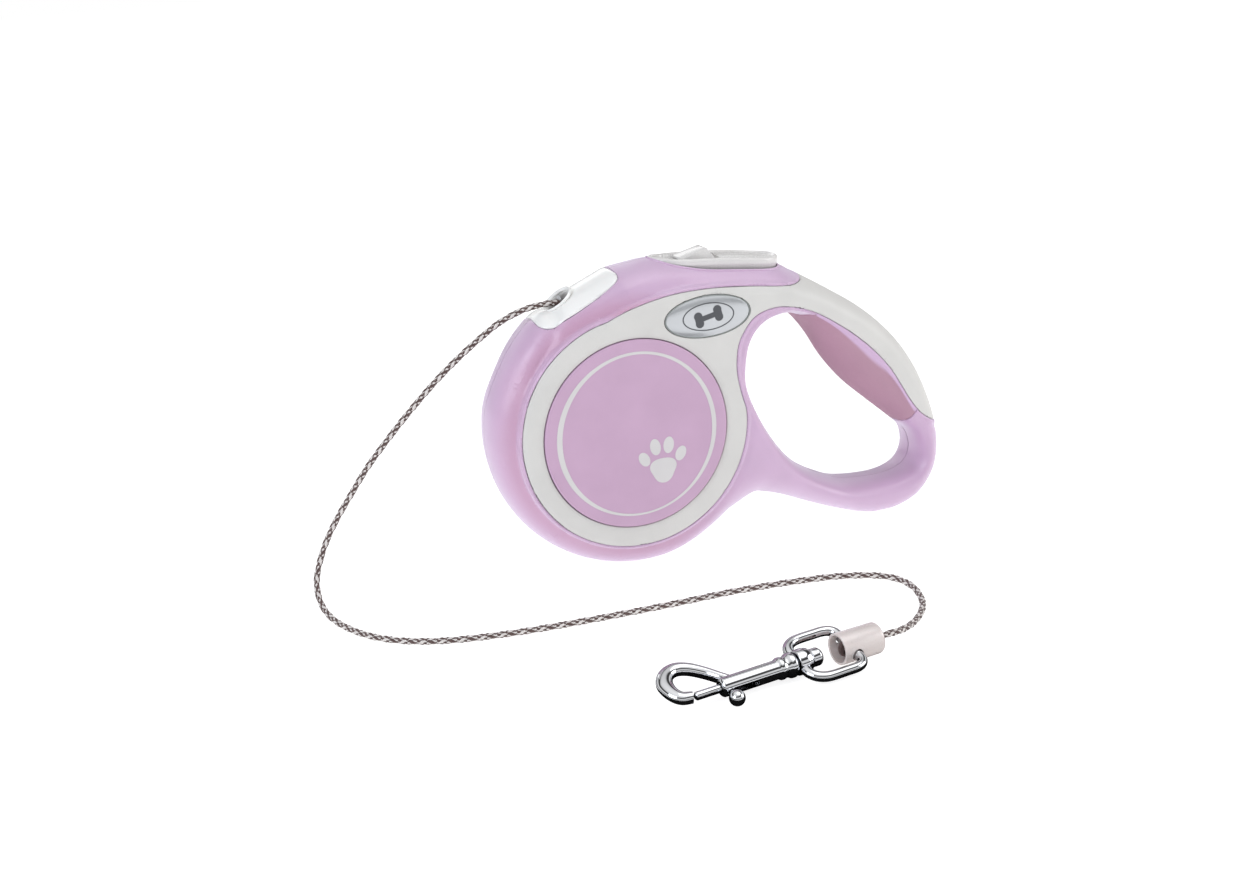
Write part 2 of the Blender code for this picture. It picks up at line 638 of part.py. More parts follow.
def sleeve(parts, guides):
    """A short tube with one closed end, cross-drilled for the ring's bar."""
    frame = sleeve_frame()
    wall = 0.65
    profile = [(1.35, 0), (3.6, 0), (SLEEVE_RADIUS, 0.7),
               (SLEEVE_RADIUS, SLEEVE_LENGTH - 0.3), (SLEEVE_RADIUS - 0.3, SLEEVE_LENGTH),
               (SLEEVE_RADIUS - wall, SLEEVE_LENGTH), (SLEEVE_RADIUS - wall, 1.9), (1.35, 1.9)]
    piece = spun("cord_sleeve", profile[::-1], frame, parts, closed=True, steps=28)
    drill = cylinder("sleeve_drill", frame @ Vector((RING_BAR * MM, -8 * MM, 0)) / MM,
                     frame.to_3x3() @ Vector((0, 1, 0)), RING_WIRE + GAP, 16, guides, steps=16)
    return combine(piece, "DIFFERENCE", drill)


def ring(parts, guides):
    """A D-shaped ring: bar, two arms and a drilled boss for the rivet."""
    frame = hook_frame()
    half = [(24.0, 2.2), (24.2, 4.0), (23.4, 6.3), (21.4, 7.8), (18.6, 8.15), (15, 8.15),
            (12.0, 8.1), (10.1, 7.5), (9.0, 6.2), (RING_BAR, 4.6), (RING_BAR, 2.2)]
    outline = half + [(x, -y) for x, y in reversed(half)]
    hoop = wire_in("ring_wire", outline, frame, RING_WIRE, guides)
    boss = spun("ring_boss", [(0, 25.4), (3.0, 25.4), (3.4, 24.9), (3.4, 22.0), (3.0, 21.5),
                              (0, 21.5)], frame, guides, steps=20)
    drill = spun("boss_drill", [(0, 40), (1.65, 40), (1.65, 14), (0, 14)], frame, guides, steps=20)
    combine(hoop, "UNION", boss)
    combine(hoop, "DIFFERENCE", drill)
    return settled(hoop, "swivel_ring", parts)


def hook(parts, guides):
    """Bolt snap: body with eye, bolt with knob and spring, and the swivel rivet."""
    frame = hook_frame()
    barrel = spun("barrel_form", [(0, 47.8), (2.2, 47.8), (2.5, 47.4), (2.5, 29.4), (2.8, 28.9),
                                  (3.3, 28.5), (3.3, 26.4), (3.0, 25.9), (0, 25.9)], frame, guides,
                  steps=20)
    eye = [(43.5, 0.9), (45.5, 3.2), (48.2, 6.9), (51.2, 10.1), (54.6, 11.6), (58, 10.4),
           (60, 7), (59.9, 3.2), (58.3, 0.7), (55.7, 0)]
    arm = wire_in("eye_form", eye, frame, 1.45, guides)
    bore = spun("bolt_bore", [(0, 50), (1.45, 50), (1.45, 29.2), (0, 29.2)], frame, guides,
                steps=20)
    pin_hole = spun("rivet_hole", [(0, 28), (1.55, 28), (1.55, 20), (0, 20)], frame, guides,
                    steps=20)
    slot = box("knob_slot", (KNOB_AT - BOLT_TRAVEL - 1.2, -6, -1.0), (KNOB_AT + 1.1, 0, 1.0),
               guides)
    slot.data.transform(frame)
    combine(barrel, "UNION", arm)
    combine(barrel, "DIFFERENCE", bore, pin_hole, slot)
    body = settled(barrel, "hook_body", parts)
    bolt = spun("hook_bolt", [(0, 55.1), (0.9, 55.1), (1.15, 54.8), (1.15, 38.5), (0, 38.5)], frame,
                parts, steps=16)
    knob = turned("bolt_knob", [(0, -1.45), (0.65, -1.45), (0.65, -2.9), (1.5, -3.2), (2.05, -4.1),
                                (2.1, -5.0), (1.6, -6.4), (0.8, -6.95), (0, -7.05)],
                  frame @ Matrix.Translation((KNOB_AT * MM, 0, 0)) @ UPRIGHT, parts, steps=16)
    coil = helix(turns=5, start=29.7, length=8.1, radius=0.95)
    spring = tube("bolt_spring", coil, 0.2, parts, sides=1)
    spring.data.transform(frame @ ALONG_LOCAL_X)
    rivet = spun("swivel_rivet", [(0, 27.6), (1.25, 27.6), (1.25, 21.2), (2.3, 21.2), (2.4, 20.6),
                                  (2.0, 18.4), (1.2, 17.9), (0, 17.8)], frame, parts, steps=20)
    return body, bolt, knob, spring, rivet


# ---------------------------------------------------------------- materials and assembly

FINISHES = {
    "lilac": ((0.63, 0.42, 0.60, 1), 0.45, 0.0),
    "grip": ((0.56, 0.33, 0.48, 1), 0.7, 0.0),
    "white": ((0.78, 0.78, 0.75, 1), 0.35, 0.0),
    "silver": ((0.8, 0.8, 0.82, 1), 0.15, 0.9),
    "chrome": ((0.75, 0.75, 0.77, 1), 0.08, 1.0),
    "steel": ((0.45, 0.45, 0.47, 1), 0.3, 1.0),
    "black": ((0.03, 0.03, 0.035, 1), 0.5, 0.0),
    "cord": ((0.28, 0.2, 0.19, 1), 0.8, 0.0),
    "sleeve": ((0.75, 0.68, 0.65, 1), 0.4, 0.0),
}


def paint(piece, finish):
    """Gives a piece its finish and smooth shading between flats."""
    material = bpy.data.materials.get(finish)
    if material is None:
        colour, roughness, metallic = FINISHES[finish]
        material = bpy.data.materials.new(finish)
        material.use_nodes = True
        shader = material.node_tree.nodes["Principled BSDF"]
        shader.inputs["Base Color"].default_value = colour
        shader.inputs["Roughness"].default_value = roughness
        shader.inputs["Metallic"].default_value = metallic
    piece.data.materials.clear()
    piece.data.materials.append(material)
    piece.data.shade_smooth()
    piece.data.set_sharp_from_angle(angle=math.radians(35))


def collection_named(name):
    group = bpy.data.collections.new(name)
    bpy.context.scene.collection.children.link(group)
    return group


def build():
    for leftover in list(bpy.data.objects):
        bpy.data.objects.remove(leftover)
    parts = collection_named("retractable_leash")
    guides = collection_named("cutters")
    blank = housing_blank(guides)
    cuts = shared_cuts(guides)
    shared = {
        "shell_cuts": cuts + screws(parts, guides),
        "label_hole": cylinder("label_hole", (BEARING_CENTRE[0], -30, BEARING_CENTRE[1]),
                               (0, 1, 0), LABEL_RADIUS + GAP, 60, guides, steps=48),
        "badge_hole": prism("badge_hole", [ellipse(BADGE_CENTRE, [s + GAP for s in BADGE_SIZE], 32)],
                            -30, 30, guides, smooth=0),
    }
    for side in (-1, 1):
        for piece, finish in zip(shell_and_panel(side, blank, shared, parts, guides),
                                 ("lilac", "white", "lilac", "silver")):
            paint(piece, finish)
    paint(nozzle(blank, parts, guides), "white")
    paint(grip_pad(blank, parts, guides), "grip")
    for piece, finish in zip(brake(parts, guides), ("white", "white", "black", "steel")):
        paint(piece, finish)
    paint(reel(parts, guides), "black")
    for piece, finish in zip(reel_works(parts), ("black", "steel", "steel", "steel", "cord")):
        paint(piece, finish)
    paint(mainspring(parts), "steel")
    for piece in cords(parts):
        paint(piece, "cord")
    paint(sleeve(parts, guides), "sleeve")
    paint(ring(parts, guides), "chrome")
    for piece, finish in zip(hook(parts, guides), ("chrome", "chrome", "chrome", "steel", "chrome")):
        paint(piece, finish)
    for guide in guides.objects:
        guide.hide_render = True
        guide.display_type = "WIRE"


build()
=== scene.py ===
"""The looks of the retractable leash: fine surfaces, a braided cord, chrome fittings, materials.

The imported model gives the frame, its bodies and its joints. Outlines are X and Z in millimetres
as seen from the left side, which faces -Y; the origin is under the middle of the housing.
"""

import json
import math

import bmesh
import bpy
import numpy as np
from mathutils import Matrix, Vector
from mathutils.geometry import delaunay_2d_cdt


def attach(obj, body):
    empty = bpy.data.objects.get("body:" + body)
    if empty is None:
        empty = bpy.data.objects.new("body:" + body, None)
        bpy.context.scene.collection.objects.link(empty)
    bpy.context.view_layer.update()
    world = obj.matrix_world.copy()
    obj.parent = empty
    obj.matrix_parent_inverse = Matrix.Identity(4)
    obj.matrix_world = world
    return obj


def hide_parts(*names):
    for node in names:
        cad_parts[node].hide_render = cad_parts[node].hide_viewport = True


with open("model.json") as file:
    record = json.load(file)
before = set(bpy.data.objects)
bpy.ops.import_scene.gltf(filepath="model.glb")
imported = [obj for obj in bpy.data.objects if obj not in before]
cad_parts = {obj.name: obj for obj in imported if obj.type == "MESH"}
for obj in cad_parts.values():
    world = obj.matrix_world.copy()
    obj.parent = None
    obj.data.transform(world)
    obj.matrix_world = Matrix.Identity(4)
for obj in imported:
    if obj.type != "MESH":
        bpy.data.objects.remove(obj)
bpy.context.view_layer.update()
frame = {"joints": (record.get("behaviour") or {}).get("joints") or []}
JOINTS = {joint["name"]: joint for joint in frame["joints"]}
MM = 0.001
SIDE_WORDS = {-1: "left", 1: "right"}       # each side by the sign of its Y


def placed(name, data):
    """A new object in the scene."""
    piece = bpy.data.objects.new(name, data)
    bpy.context.scene.collection.objects.link(piece)
    return piece


# ---------------------------------------------------------------- camera
# It stands in front of the left side, a little towards the drum, and looks down on it.

CAMERA_PLACE = (-0.192206, -0.464216, 0.194406)
CAMERA_AZIMUTH, CAMERA_ELEVATION, CAMERA_ROLL = (math.radians(a) for a in (-18.993, 17.805, -4.274))
CAMERA_LENS = 50.08


def make_camera():
    azimuth, elevation, roll = CAMERA_AZIMUTH, CAMERA_ELEVATION, CAMERA_ROLL
    back = Vector((math.sin(azimuth) * math.cos(elevation),
                   -math.cos(azimuth) * math.cos(elevation), math.sin(elevation)))
    level = Vector((math.cos(azimuth), math.sin(azimuth), 0))
    upright = back.cross(level)
    right = level * math.cos(roll) + upright * math.sin(roll)
    up = upright * math.cos(roll) - level * math.sin(roll)
    camera = placed("camera", bpy.data.cameras.new("camera"))
    camera.data.lens = CAMERA_LENS
    camera.data.sensor_width = 36
    camera.data.clip_start = 0.02
    camera.matrix_world = (Matrix.Translation(CAMERA_PLACE)
                           @ Matrix((right, up, back)).transposed().to_4x4())
    bpy.context.scene.camera = camera


# ---------------------------------------------------------------- outlines of the housing

HALF_WIDTH = 14.5
SEAM_GAP = 0.1                  # each half stops this far from the mid plane
OUTLINE_SPACING = 1.15
DRUM_CENTRE = (-28.8, 45.0)
DRUM_RADIUS = 45.0
DRUM_ARC = (101, 309)           # where the outline is the drum's circle, in degrees
DRUM_RIM = 11                   # radius of the drum's rounded edge
UPPER_LEFT_DENT = 1.2           # the drum's outline is flatter below the nozzle
LOWER_RIGHT_DENT = 1.2          # and where it runs into the handle
RIM_POWER = 2.05                # superellipse exponent of the rim's section
HOLE_POWER = 2.1                # and of the edge round the fingers' hole
HANDLE_NARROWING = 0.32
LABEL_CENTRE = (-31.95, 43.4)
LABEL_RADIUS = 28.2
LABEL_FACE = 15.1               # distance of the label's face from the mid plane
PANEL_BACK = 12.5               # and of the label's and the badge's backs
BADGE_CENTRE = (-7.7, 74.9)
BADGE_SIZE = (13.4, 6.1)
BADGE_TOP = 15.0
TRIM_RING = ((-31.7, 43.6), 34.8)
TRIM_DEPTH = 2.0

# Each point of the outline is followed by the radius of the rounded edge there
HANDLE_EDGE = [
    (7, 14.6, 10.5), (11, 14.1, 10), (17, 12.2, 8.6), (27, 7.7, 7.4), (36, 3.9, 6.6),
    (44.5, 1.0, 6.2), (51, -0.2, 6.2), (57.5, 0.5, 6.2), (63.8, 2.9, 6.2), (68.2, 7, 6),
    (71.4, 12.8, 5.8), (72.5, 20, 5.6),
    (71.7, 28, 5.4), (69.2, 36.8, 5.4), (65.2, 46.1, 5.4), (59.7, 54.8, 5.5), (53.5, 61.8, 5.5),
    (46, 68.3, 5.6), (37, 74.4, 5.8), (28.6, 79.7, 6.2), (22, 83.7, 7), (17, 85.5, 7.8),
    (11, 86.8, 8.6), (-2, 88.8, 9.6), (-13, 90.7, 10.2), (-20.5, 91.5, 10.4), (-26.5, 90.8, 10),
]
HOLE_EDGE = [
    (5.4, 55, 3.4), (7, 63.5, 3.4), (11, 68.4, 3.4), (17, 70.2, 3.4), (23, 69.3, 3.8),
    (27.4, 65.9, 5.2), (30.6, 61.2, 7.6), (34.7, 53.3, 10.6), (41.3, 44.8, 11.6),
    (49.7, 36.9, 10.6), (58.6, 29, 6.6), (63.2, 24.4, 4.4), (64.6, 18.6, 4), (62.6, 14, 4),
    (57.5, 11.8, 4.2), (50, 11.3, 4.4), (40, 12.4, 4.6), (33, 15.2, 4.8), (26, 19.3, 4.8),
    (20, 24.6, 4.4), (14.3, 32, 4), (9.4, 40.7, 3.6), (6.3, 48.5, 3.4),
]
TRIM_INNER_EDGE = [
    (2.9, 45.5), (1.6, 50.5), (0.6, 57), (1.2, 63.6), (3, 67.8), (6.4, 71.9), (10.6, 73.8),
    (16, 74.2), (22.4, 72.6), (28.8, 69.6), (35.3, 65.3), (41.8, 60.3), (48.2, 54.3),
    (53.4, 48), (57, 42.4), (60.4, 36.8), (64, 32.2), (68.6, 29), (76, 26),
]
BEYOND_HANDLE = [(90, 50), (60, 84), (36, 90), (30, 84)]
TRIM_UPPER_EDGE = [
    (30, 84), (26.8, 81), (22.5, 80), (16.2, 80.3), (9.8, 81.2), (3.5, 82), (-3, 82.6),
    (-10, 82.9), (-17.5, 82.8), (-25, 81.8), (-32, 80.1), (-38.3, 77.8),
]
PAD_TOP_END = [(22.8, 66.6), (24.6, 69.0), (28.8, 70.4)]
PAD_LOW_END = [(63.2, 35.4), (61.2, 31.2), (58.0, 27.4)]
NOZZLE_EDGE = [
    (-56.4, 80), (-56.9, 78.4), (-56.3, 77.5), (-54.1, 77.7), (-50.9, 78.9), (-47, 80.5),
    (-42.7, 82.5), (-39.5, 84.1), (-36, 85.9), (-33.2, 87.6), (-31.6, 89.1), (-31.9, 90.6),
]
NOZZLE_LAND = [(-32.2, 90.1), (-57.8, 79)]
LAND_FLATNESS = 0.92            # 1 would make the nozzle's crest a straight line
MOUTH = (-48.5, 82.2)
BORE_DIRECTION = Vector((-29.0, 0, 18.9)).normalized()
FUNNEL = ((-46.5, 80.6), Vector((-1.8, 0, 2.5)).normalized())   # its narrow end, and its axis
VALLEY_HEAD = [(-51.2, 81.2), (-54.5, 75.8), (-58, 70.8), (-61.4, 65.4), (-63.8, 59.6)]


def smooth_path(points, spacing, closed=False):
    """Points about a spacing apart on a Catmull-Rom curve; extra columns are carried along."""
    knots = np.array(points, float)
    count = len(knots)
    path = []
    for i in range(count if closed else count - 1):
        if closed:
            a, b, c, d = (knots[(i + k) % count] for k in (-1, 0, 1, 2))
        else:
            b, c = knots[i], knots[i + 1]
            a = knots[i - 1] if i else b * 2 - c
            d = knots[i + 2] if i + 2 < count else c * 2 - b
        pieces = max(1, round(np.linalg.norm((c - b)[:3]) / spacing))
        for k in range(pieces):
            t = k / pieces
            path.append(0.5 * (2 * b + (c - a) * t + (2 * a - 5 * b + 4 * c - d) * t * t
                               + (3 * b - a - 3 * c + d) * t * t * t))
    if not closed:
        path.append(knots[-1])
    return np.array(path)


def spaced(path, spacing, closed=False, axes=2):
    """The same line with points an even spacing apart; other columns are carried along."""
    line = np.vstack([path, path[:1]]) if closed else path
    steps = np.linalg.norm(np.diff(line[:, :axes], axis=0), axis=1)
    travel = np.concatenate([[0], np.cumsum(steps)])
    at = np.linspace(0, travel[-1], max(2, round(travel[-1] / spacing)) + 1)
    even = np.stack([np.interp(at, travel, line[:, k]) for k in range(line.shape[1])], axis=1)
    return even[:-1] if closed else even


def arc(centre, radius, start, end, count):
    """Points on a circle between two angles in degrees."""
    angles = np.radians(np.linspace(start, end, count))
    return np.stack([centre[0] + radius * np.cos(angles), centre[1] + radius * np.sin(angles)], 1)


def ellipse(centre, size, count):
    angles = np.arange(count) * 2 * np.pi / count
    return np.stack([centre[0] + size[0] * np.cos(angles),
                     centre[1] + size[1] * np.sin(angles)], 1)


def inside(points, loop):
    """Which points lie inside a closed loop."""
    x, z = points[:, 0, None], points[:, 1, None]
    ax, az = loop[:, 0], loop[:, 1]
    bx, bz = np.roll(ax, -1), np.roll(az, -1)
    with np.errstate(divide="ignore", invalid="ignore"):
        crosses = ((az > z) != (bz > z)) & (x < (bx - ax) * (z - az) / (bz - az) + ax)
    return crosses.sum(1) % 2 == 1


def nearest(points, line, closed=True):
    """Distance to a line, and the line's third column at the nearest place."""
    starts = line if closed else line[:-1]
    ends = np.roll(line, -1, axis=0) if closed else line[1:]
    best = np.full(len(points), 1e9)
    value = np.zeros(len(points))
    for low in range(0, len(points), 4000):
        p = points[low:low + 4000, None, :2]
        span = (ends - starts)[:, :2]
        t = np.clip(((p - starts[:, :2]) * span).sum(2) / (span * span).sum(1), 0, 1)
        d = np.linalg.norm(p - starts[:, :2] - t[..., None] * span, axis=2)
        i = d.argmin(1)
        rows = np.arange(len(i))
        best[low:low + 4000] = d[rows, i]
        if line.shape[1] > 2:
            value[low:low + 4000] = (starts[i, 2] + t[rows, i] * (ends - starts)[i, 2])
    return best, value


def ramp(low, high, x):
    """0 below low, 1 above high, and smooth between."""
    t = np.clip((x - low) / (high - low), 0, 1)
    return t * t * (3 - 2 * t)


def rounded(t, power):
    """Height of a superellipse's edge, from 0 at its rim to 1."""
    return (1 - (1 - np.clip(t, 0, 1)) ** power) ** (1 / power)


def inward(loop, distances):
    """Points at a distance for each vertex to the left of a closed loop."""
    tangent = np.roll(loop, -1, axis=0)[:, :2] - np.roll(loop, 1, axis=0)[:, :2]
    tangent /= np.linalg.norm(tangent, axis=1)[:, None]
    normal = np.stack([-tangent[:, 1], tangent[:, 0]], 1)
    return loop[:, :2] + normal * distances[:, None]


def outer_line():
    """The housing's outline, with the radius of its rounded edge as a third column."""
    drum = arc(DRUM_CENTRE, DRUM_RADIUS, *DRUM_ARC, 150)
    angle = np.linspace(*DRUM_ARC, len(drum))
    dent = (UPPER_LEFT_DENT * ramp(106, 124, angle) * (1 - ramp(150, 172, angle))
            + LOWER_RIGHT_DENT * ramp(276, 304, angle))
    drum += (DRUM_CENTRE - drum) * (dent / DRUM_RADIUS)[:, None]
    drum = np.hstack([drum, np.full((len(drum), 1), DRUM_RIM)])
    handle = smooth_path([tuple(drum[-1])] + HANDLE_EDGE + [tuple(drum[0])], 1.0)
    line = np.vstack([drum[:-1], handle[:-1]])
    line[:, 1] = np.maximum(line[:, 1], 0)      # it stands on flat feet
    line = spaced(line, 0.5, closed=True)
    start, end = (np.array(p) for p in NOZZLE_LAND)
    run = (end - start) / np.linalg.norm(end - start)
    out = np.array((run[1], -run[0]))
    beyond = np.maximum((line[:, :2] - start) @ out, 0)
    line[:, :2] -= np.outer(beyond, out) * LAND_FLATNESS
    return spaced(line, OUTLINE_SPACING, closed=True)


OUTER = outer_line()
HOLE = spaced(smooth_path(HOLE_EDGE, 1.0, closed=True), OUTLINE_SPACING, closed=True)
TRIM_LINE = np.vstack([
    arc(*TRIM_RING, 101, 360, 130)[:-1],
    smooth_path([(3.1, 43.6)] + TRIM_INNER_EDGE, 1.1)[1:-1],
    np.array([TRIM_INNER_EDGE[-1]] + BEYOND_HANDLE[:-1]),
    smooth_path(TRIM_UPPER_EDGE, 1.1)[:-1],
])
NOZZLE_LINE = np.vstack([smooth_path(NOZZLE_EDGE, 0.6), [(-31.6, 99), (-56.4, 99)]])
LABEL_ROOM = ellipse(LABEL_CENTRE, (LABEL_RADIUS + 0.15,) * 2, 150)
BADGE_ROOM = ellipse(BADGE_CENTRE, [size + 0.12 for size in BADGE_SIZE], 64)


def half_width(p):
    """Half the housing's width: the handle gets thinner towards its low outer end."""
    outward_by = (p[:, 0] - 10) * 0.75 + (55 - p[:, 1]) * 0.35
    return HALF_WIDTH * (1 - HANDLE_NARROWING * ramp(0, 55, outward_by))


def rim_power(p):
    """The rim's section is rounder beside the button."""
    x, z = p.T
    return RIM_POWER - 0.35 * ramp(-31, -19, x) * (1 - ramp(20, 32, x)) * ramp(64, 80, z)


def side_height(p):
    """Distance of the housing's side surface from the mid plane."""
    rim, rim_radius = nearest(p, OUTER)
    hole, hole_radius = nearest(p, HOLE)
    hole_power = 2.3 - 0.6 * ramp(5, 10, hole_radius)     # the grip slopes in more evenly
    return (half_width(p) * rounded(rim / rim_radius, rim_power(p))
            * rounded(hole / hole_radius, hole_power))


# ---------------------------------------------------------------- the housing as one net

RIM_STEPS = 12                  # rows of points on the rounded outer edge
HOLE_STEPS = 10                 # and on the edge round the fingers' hole
NET_SPACING = 1.5
SEAM_ROWS = (0.1, 0.22, 0.36)   # distances of the extra rows of points on both sides of a seam
BEAD_ROWS = (0.5, 0.65, 0.85, 1.1, 1.4, 1.7, 2.1, 2.6, 3.2, 4.0, 4.9, 5.8)      # off the trim
CLEAR_OF_RIM = 0.3
MERGE_DISTANCE = 0.0005
AT_MID_PLANE = 0.02             # a point nearer than this is on the mid plane


def rim_rows(loop, steps, power):
    """Loops inside an edge, where its rounded section turns by even angles."""
    rows = []
    for k in range(1, steps + 1):
        angle = math.pi / 2 * (k / steps) ** 1.25
        share = 1 - max(math.cos(angle), 0) ** (2 / power)
        rows.append(inward(loop, loop[:, 2] * share))
    return rows


def seam_points(line, closed=True):
    """A seam's own points, closer together where the surface is steep."""
    fine = spaced(line, 0.2, closed)
    steep = np.minimum(nearest(fine, OUTER)[0], nearest(fine, HOLE)[0])
    kept, since = [0], 0.0
    for i in range(1, len(fine)):
        since += np.linalg.norm(fine[i] - fine[i - 1])
        if since >= min(0.2 + 0.3 * steep[i], OUTLINE_SPACING):
            kept.append(i)
            since = 0.0
    return fine[kept]


TRIM_SEAM = seam_points(TRIM_LINE)
NOZZLE_SEAM = seam_points(NOZZLE_LINE)
PAD_TOP_SEAM = seam_points(smooth_path(PAD_TOP_END, 0.3), False)
PAD_LOW_SEAM = seam_points(smooth_path(PAD_LOW_END, 0.3), False)


def triangulated(points, edges, mode):
    """Points and triangles that all turn the same way, and each triangle's signed size."""
    net, _, faces, _, _, _ = delaunay_2d_cdt([Vector(p) for p in points], edges, [], mode,
                                             MERGE_DISTANCE, False)
    net = np.array([tuple(p) for p in net])
    faces = np.array([f for f in faces if len(f) == 3])
    turn = np.cross(net[faces[:, 1]] - net[faces[:, 0]], net[faces[:, 2]] - net[faces[:, 0]])
    faces[turn < 0] = faces[turn < 0][:, ::-1]
    return net, faces, turn


def grid_between(x, y):
    """Points at every crossing of two rows of coordinates."""
    return np.stack([axis.ravel() for axis in np.meshgrid(x, y)], 1)


def gaps(points, others, batch):
    """Distance of each point to the nearest of the others."""
    return np.concatenate([
        np.linalg.norm(points[low:low + batch, None] - others[None], axis=2).min(1)
        for low in range(0, len(points), batch)])


def housing_net():
    """The housing's outline as points and triangles in X and Z, split along every seam."""
    seams = [(TRIM_SEAM, True), (NOZZLE_SEAM, True), (LABEL_ROOM, True), (BADGE_ROOM, True),
             (PAD_TOP_SEAM, False), (PAD_LOW_SEAM, False)]
    rows = rim_rows(OUTER, RIM_STEPS, RIM_POWER)
    rows += rim_rows(HOLE, HOLE_STEPS, HOLE_POWER)
    lines = [(OUTER[:, :2], True), (HOLE[:, :2], True)] + seams + [(row, True) for row in rows]
    points, edges = [], []
    for line, closed in lines:
        first, count = len(points), len(line)
        points += [tuple(p) for p in line]
        last = count if closed else count - 1
        edges += [(first + i, first + (i + 1) % count) for i in range(last)]
    loose = []
    for line, closed in seams:
        for distance in SEAM_ROWS:
            for side in (-1, 1):
                loose.append(inward(line, np.full(len(line), side * distance)))
    trim = spaced(TRIM_LINE, OUTLINE_SPACING, closed=True)
    for distance in BEAD_ROWS:
        loose.append(inward(trim, np.full(len(trim), -distance)))
    loose = np.vstack(loose)
    loose = loose[np.minimum(nearest(loose, OUTER)[0], nearest(loose, HOLE)[0]) > CLEAR_OF_RIM]
    x, z = np.meshgrid(np.arange(-75, 76, NET_SPACING), np.arange(-1, 92, NET_SPACING * 0.87))
    x = x + (np.arange(len(x)) % 2)[:, None] * NET_SPACING / 2
    grid = np.stack([x.ravel(), z.ravel()], 1)
    gap = gaps(grid, np.vstack([points, loose]), 300)
    free = np.vstack([loose, grid[gap > NET_SPACING * 0.55]])
    free = free[inside(free, OUTER) & ~inside(free, HOLE)]
    net, faces, turn = triangulated(np.vstack([points, free]), edges, 0)
    middle = net[faces].mean(1)
    kept = inside(middle, OUTER) & ~inside(middle, HOLE) & (np.abs(turn) > 1e-9)
    return net, faces[kept]


def regions(net, faces):
    """The faces of each piece of the housing."""
    middle = net[faces].mean(1)
    pad_space = np.vstack([PAD_TOP_SEAM, [(44, 80), (75, 50)], PAD_LOW_SEAM,
                           [(44, 30), (32, 46), (24, 60)]])
    open_hole = inside(middle, LABEL_ROOM) | inside(middle, BADGE_ROOM)
    nozzle = inside(middle, NOZZLE_SEAM)
    trim = inside(middle, TRIM_SEAM) & ~nozzle
    pad = inside(middle, pad_space) & ~trim
    return {"trim": faces[trim & ~open_hole], "nozzle": faces[nozzle], "pad": faces[pad],
            "shell": faces[~(trim | nozzle | pad)], "seat": faces[trim]}


def surface_normals(points, faces):
    """Smooth normals of the base surface; at the mid plane they lie in it."""
    cross = np.cross(points[faces[:, 1]] - points[faces[:, 0]],
                     points[faces[:, 2]] - points[faces[:, 0]])
    normals = np.zeros_like(points)
    for k in range(3):
        np.add.at(normals, faces[:, k], cross)
    normals[np.abs(points[:, 1]) < AT_MID_PLANE, 1] = 0
    return normals / np.maximum(np.linalg.norm(normals, axis=1), 1e-12)[:, None]


SEAM_ROUND = 0.36               # radius of the rounded edge at a seam, across the surface
SEAM_DEPTH = 0.42               # and into it
SEAM_SLIT = 0.05                # each side of a seam stays this far from its middle
BEAD_HEIGHT = 0.16
VALLEY_DEPTHS = (0.24, 1.3)     # everywhere along the trim, and added on the drum
VALLEY_REACHES = (3.6, 3.6)     # its width, in the same way
CREASE_DEPTH = 0.95
CREASE_WIDTH = 1.6
LIP_HEIGHT = 0.14               # of the raised ring round the label
LIP_OFFSET = 0.85


def edge_roll(distance):
    """How far a surface falls away at its edge, as a quarter circle."""
    t = 1 - np.clip(distance / SEAM_ROUND, 0, 1)
    return -SEAM_DEPTH * (1 - np.sqrt(1 - t * t))


def bead_and_valley(p, distance):
    """A thin bead along the trim, and the hollow between it and the drum's rim."""
    on_drum = (1 - ramp(-26, 2, p[:, 0])) * (1 - 0.4 * ramp(56, 88, p[:, 1]))
    depth, reach = (low + more * on_drum for low, more in (VALLEY_DEPTHS, VALLEY_REACHES))
    fall = ramp(0.7, 1.4 + 0.7 * on_drum, distance)
    rise = 1 - ramp(1.5 + 0.7 * on_drum, reach, distance)
    return BEAD_HEIGHT * (1 - ramp(0.5, 1.1, distance)) - depth * fall * rise


def crease(p):
    """The soft fold that runs from the cord's mouth down into the valley."""
    distance, _ = nearest(p, smooth_path(VALLEY_HEAD, 1.0), closed=False)
    fading = 1 - ramp(6, 26, 84 - p[:, 1])
    return -CREASE_DEPTH * np.exp(-(distance / CREASE_WIDTH) ** 2) * fading


def label_lip(p):
    """A thin raised ring on the trim, round the label."""
    distance = np.abs(np.hypot(*(p - LABEL_CENTRE).T) - LABEL_RADIUS - LIP_OFFSET)
    return LIP_HEIGHT * (1 - ramp(0.1, 0.5, distance))


def relief(kind, p):
    """Height of a region's surface over the base surface."""
    ends = [smooth_path(PAD_TOP_END, 0.5), smooth_path(PAD_LOW_END, 0.5)]
    to_trim = nearest(p, TRIM_LINE)[0]
    to_nozzle = nearest(p, NOZZLE_LINE)[0]
    to_ends = np.minimum(*(nearest(p, end, closed=False)[0] for end in ends))
    if kind == "trim":
        edge = np.minimum(to_trim, np.minimum(nearest(p, LABEL_ROOM)[0], nearest(p, BADGE_ROOM)[0]))
        return edge_roll(edge) + label_lip(p)
    if kind == "nozzle":
        return edge_roll(to_nozzle) + crease(p)
    if kind == "pad":
        return edge_roll(np.minimum(to_trim, to_ends)) + bead_and_valley(p, to_trim)
    edge = np.minimum(to_trim, np.minimum(to_nozzle, to_ends))
    return edge_roll(edge) + bead_and_valley(p, to_trim) + crease(p)


def mesh_object(name, points, faces):
    """An object from points in millimetres."""
    mesh = bpy.data.meshes.new(name)
    mesh.from_pydata([tuple(p) for p in np.asarray(points) * MM], [], [tuple(f) for f in faces])
    mesh.validate()
    return placed(name, mesh)


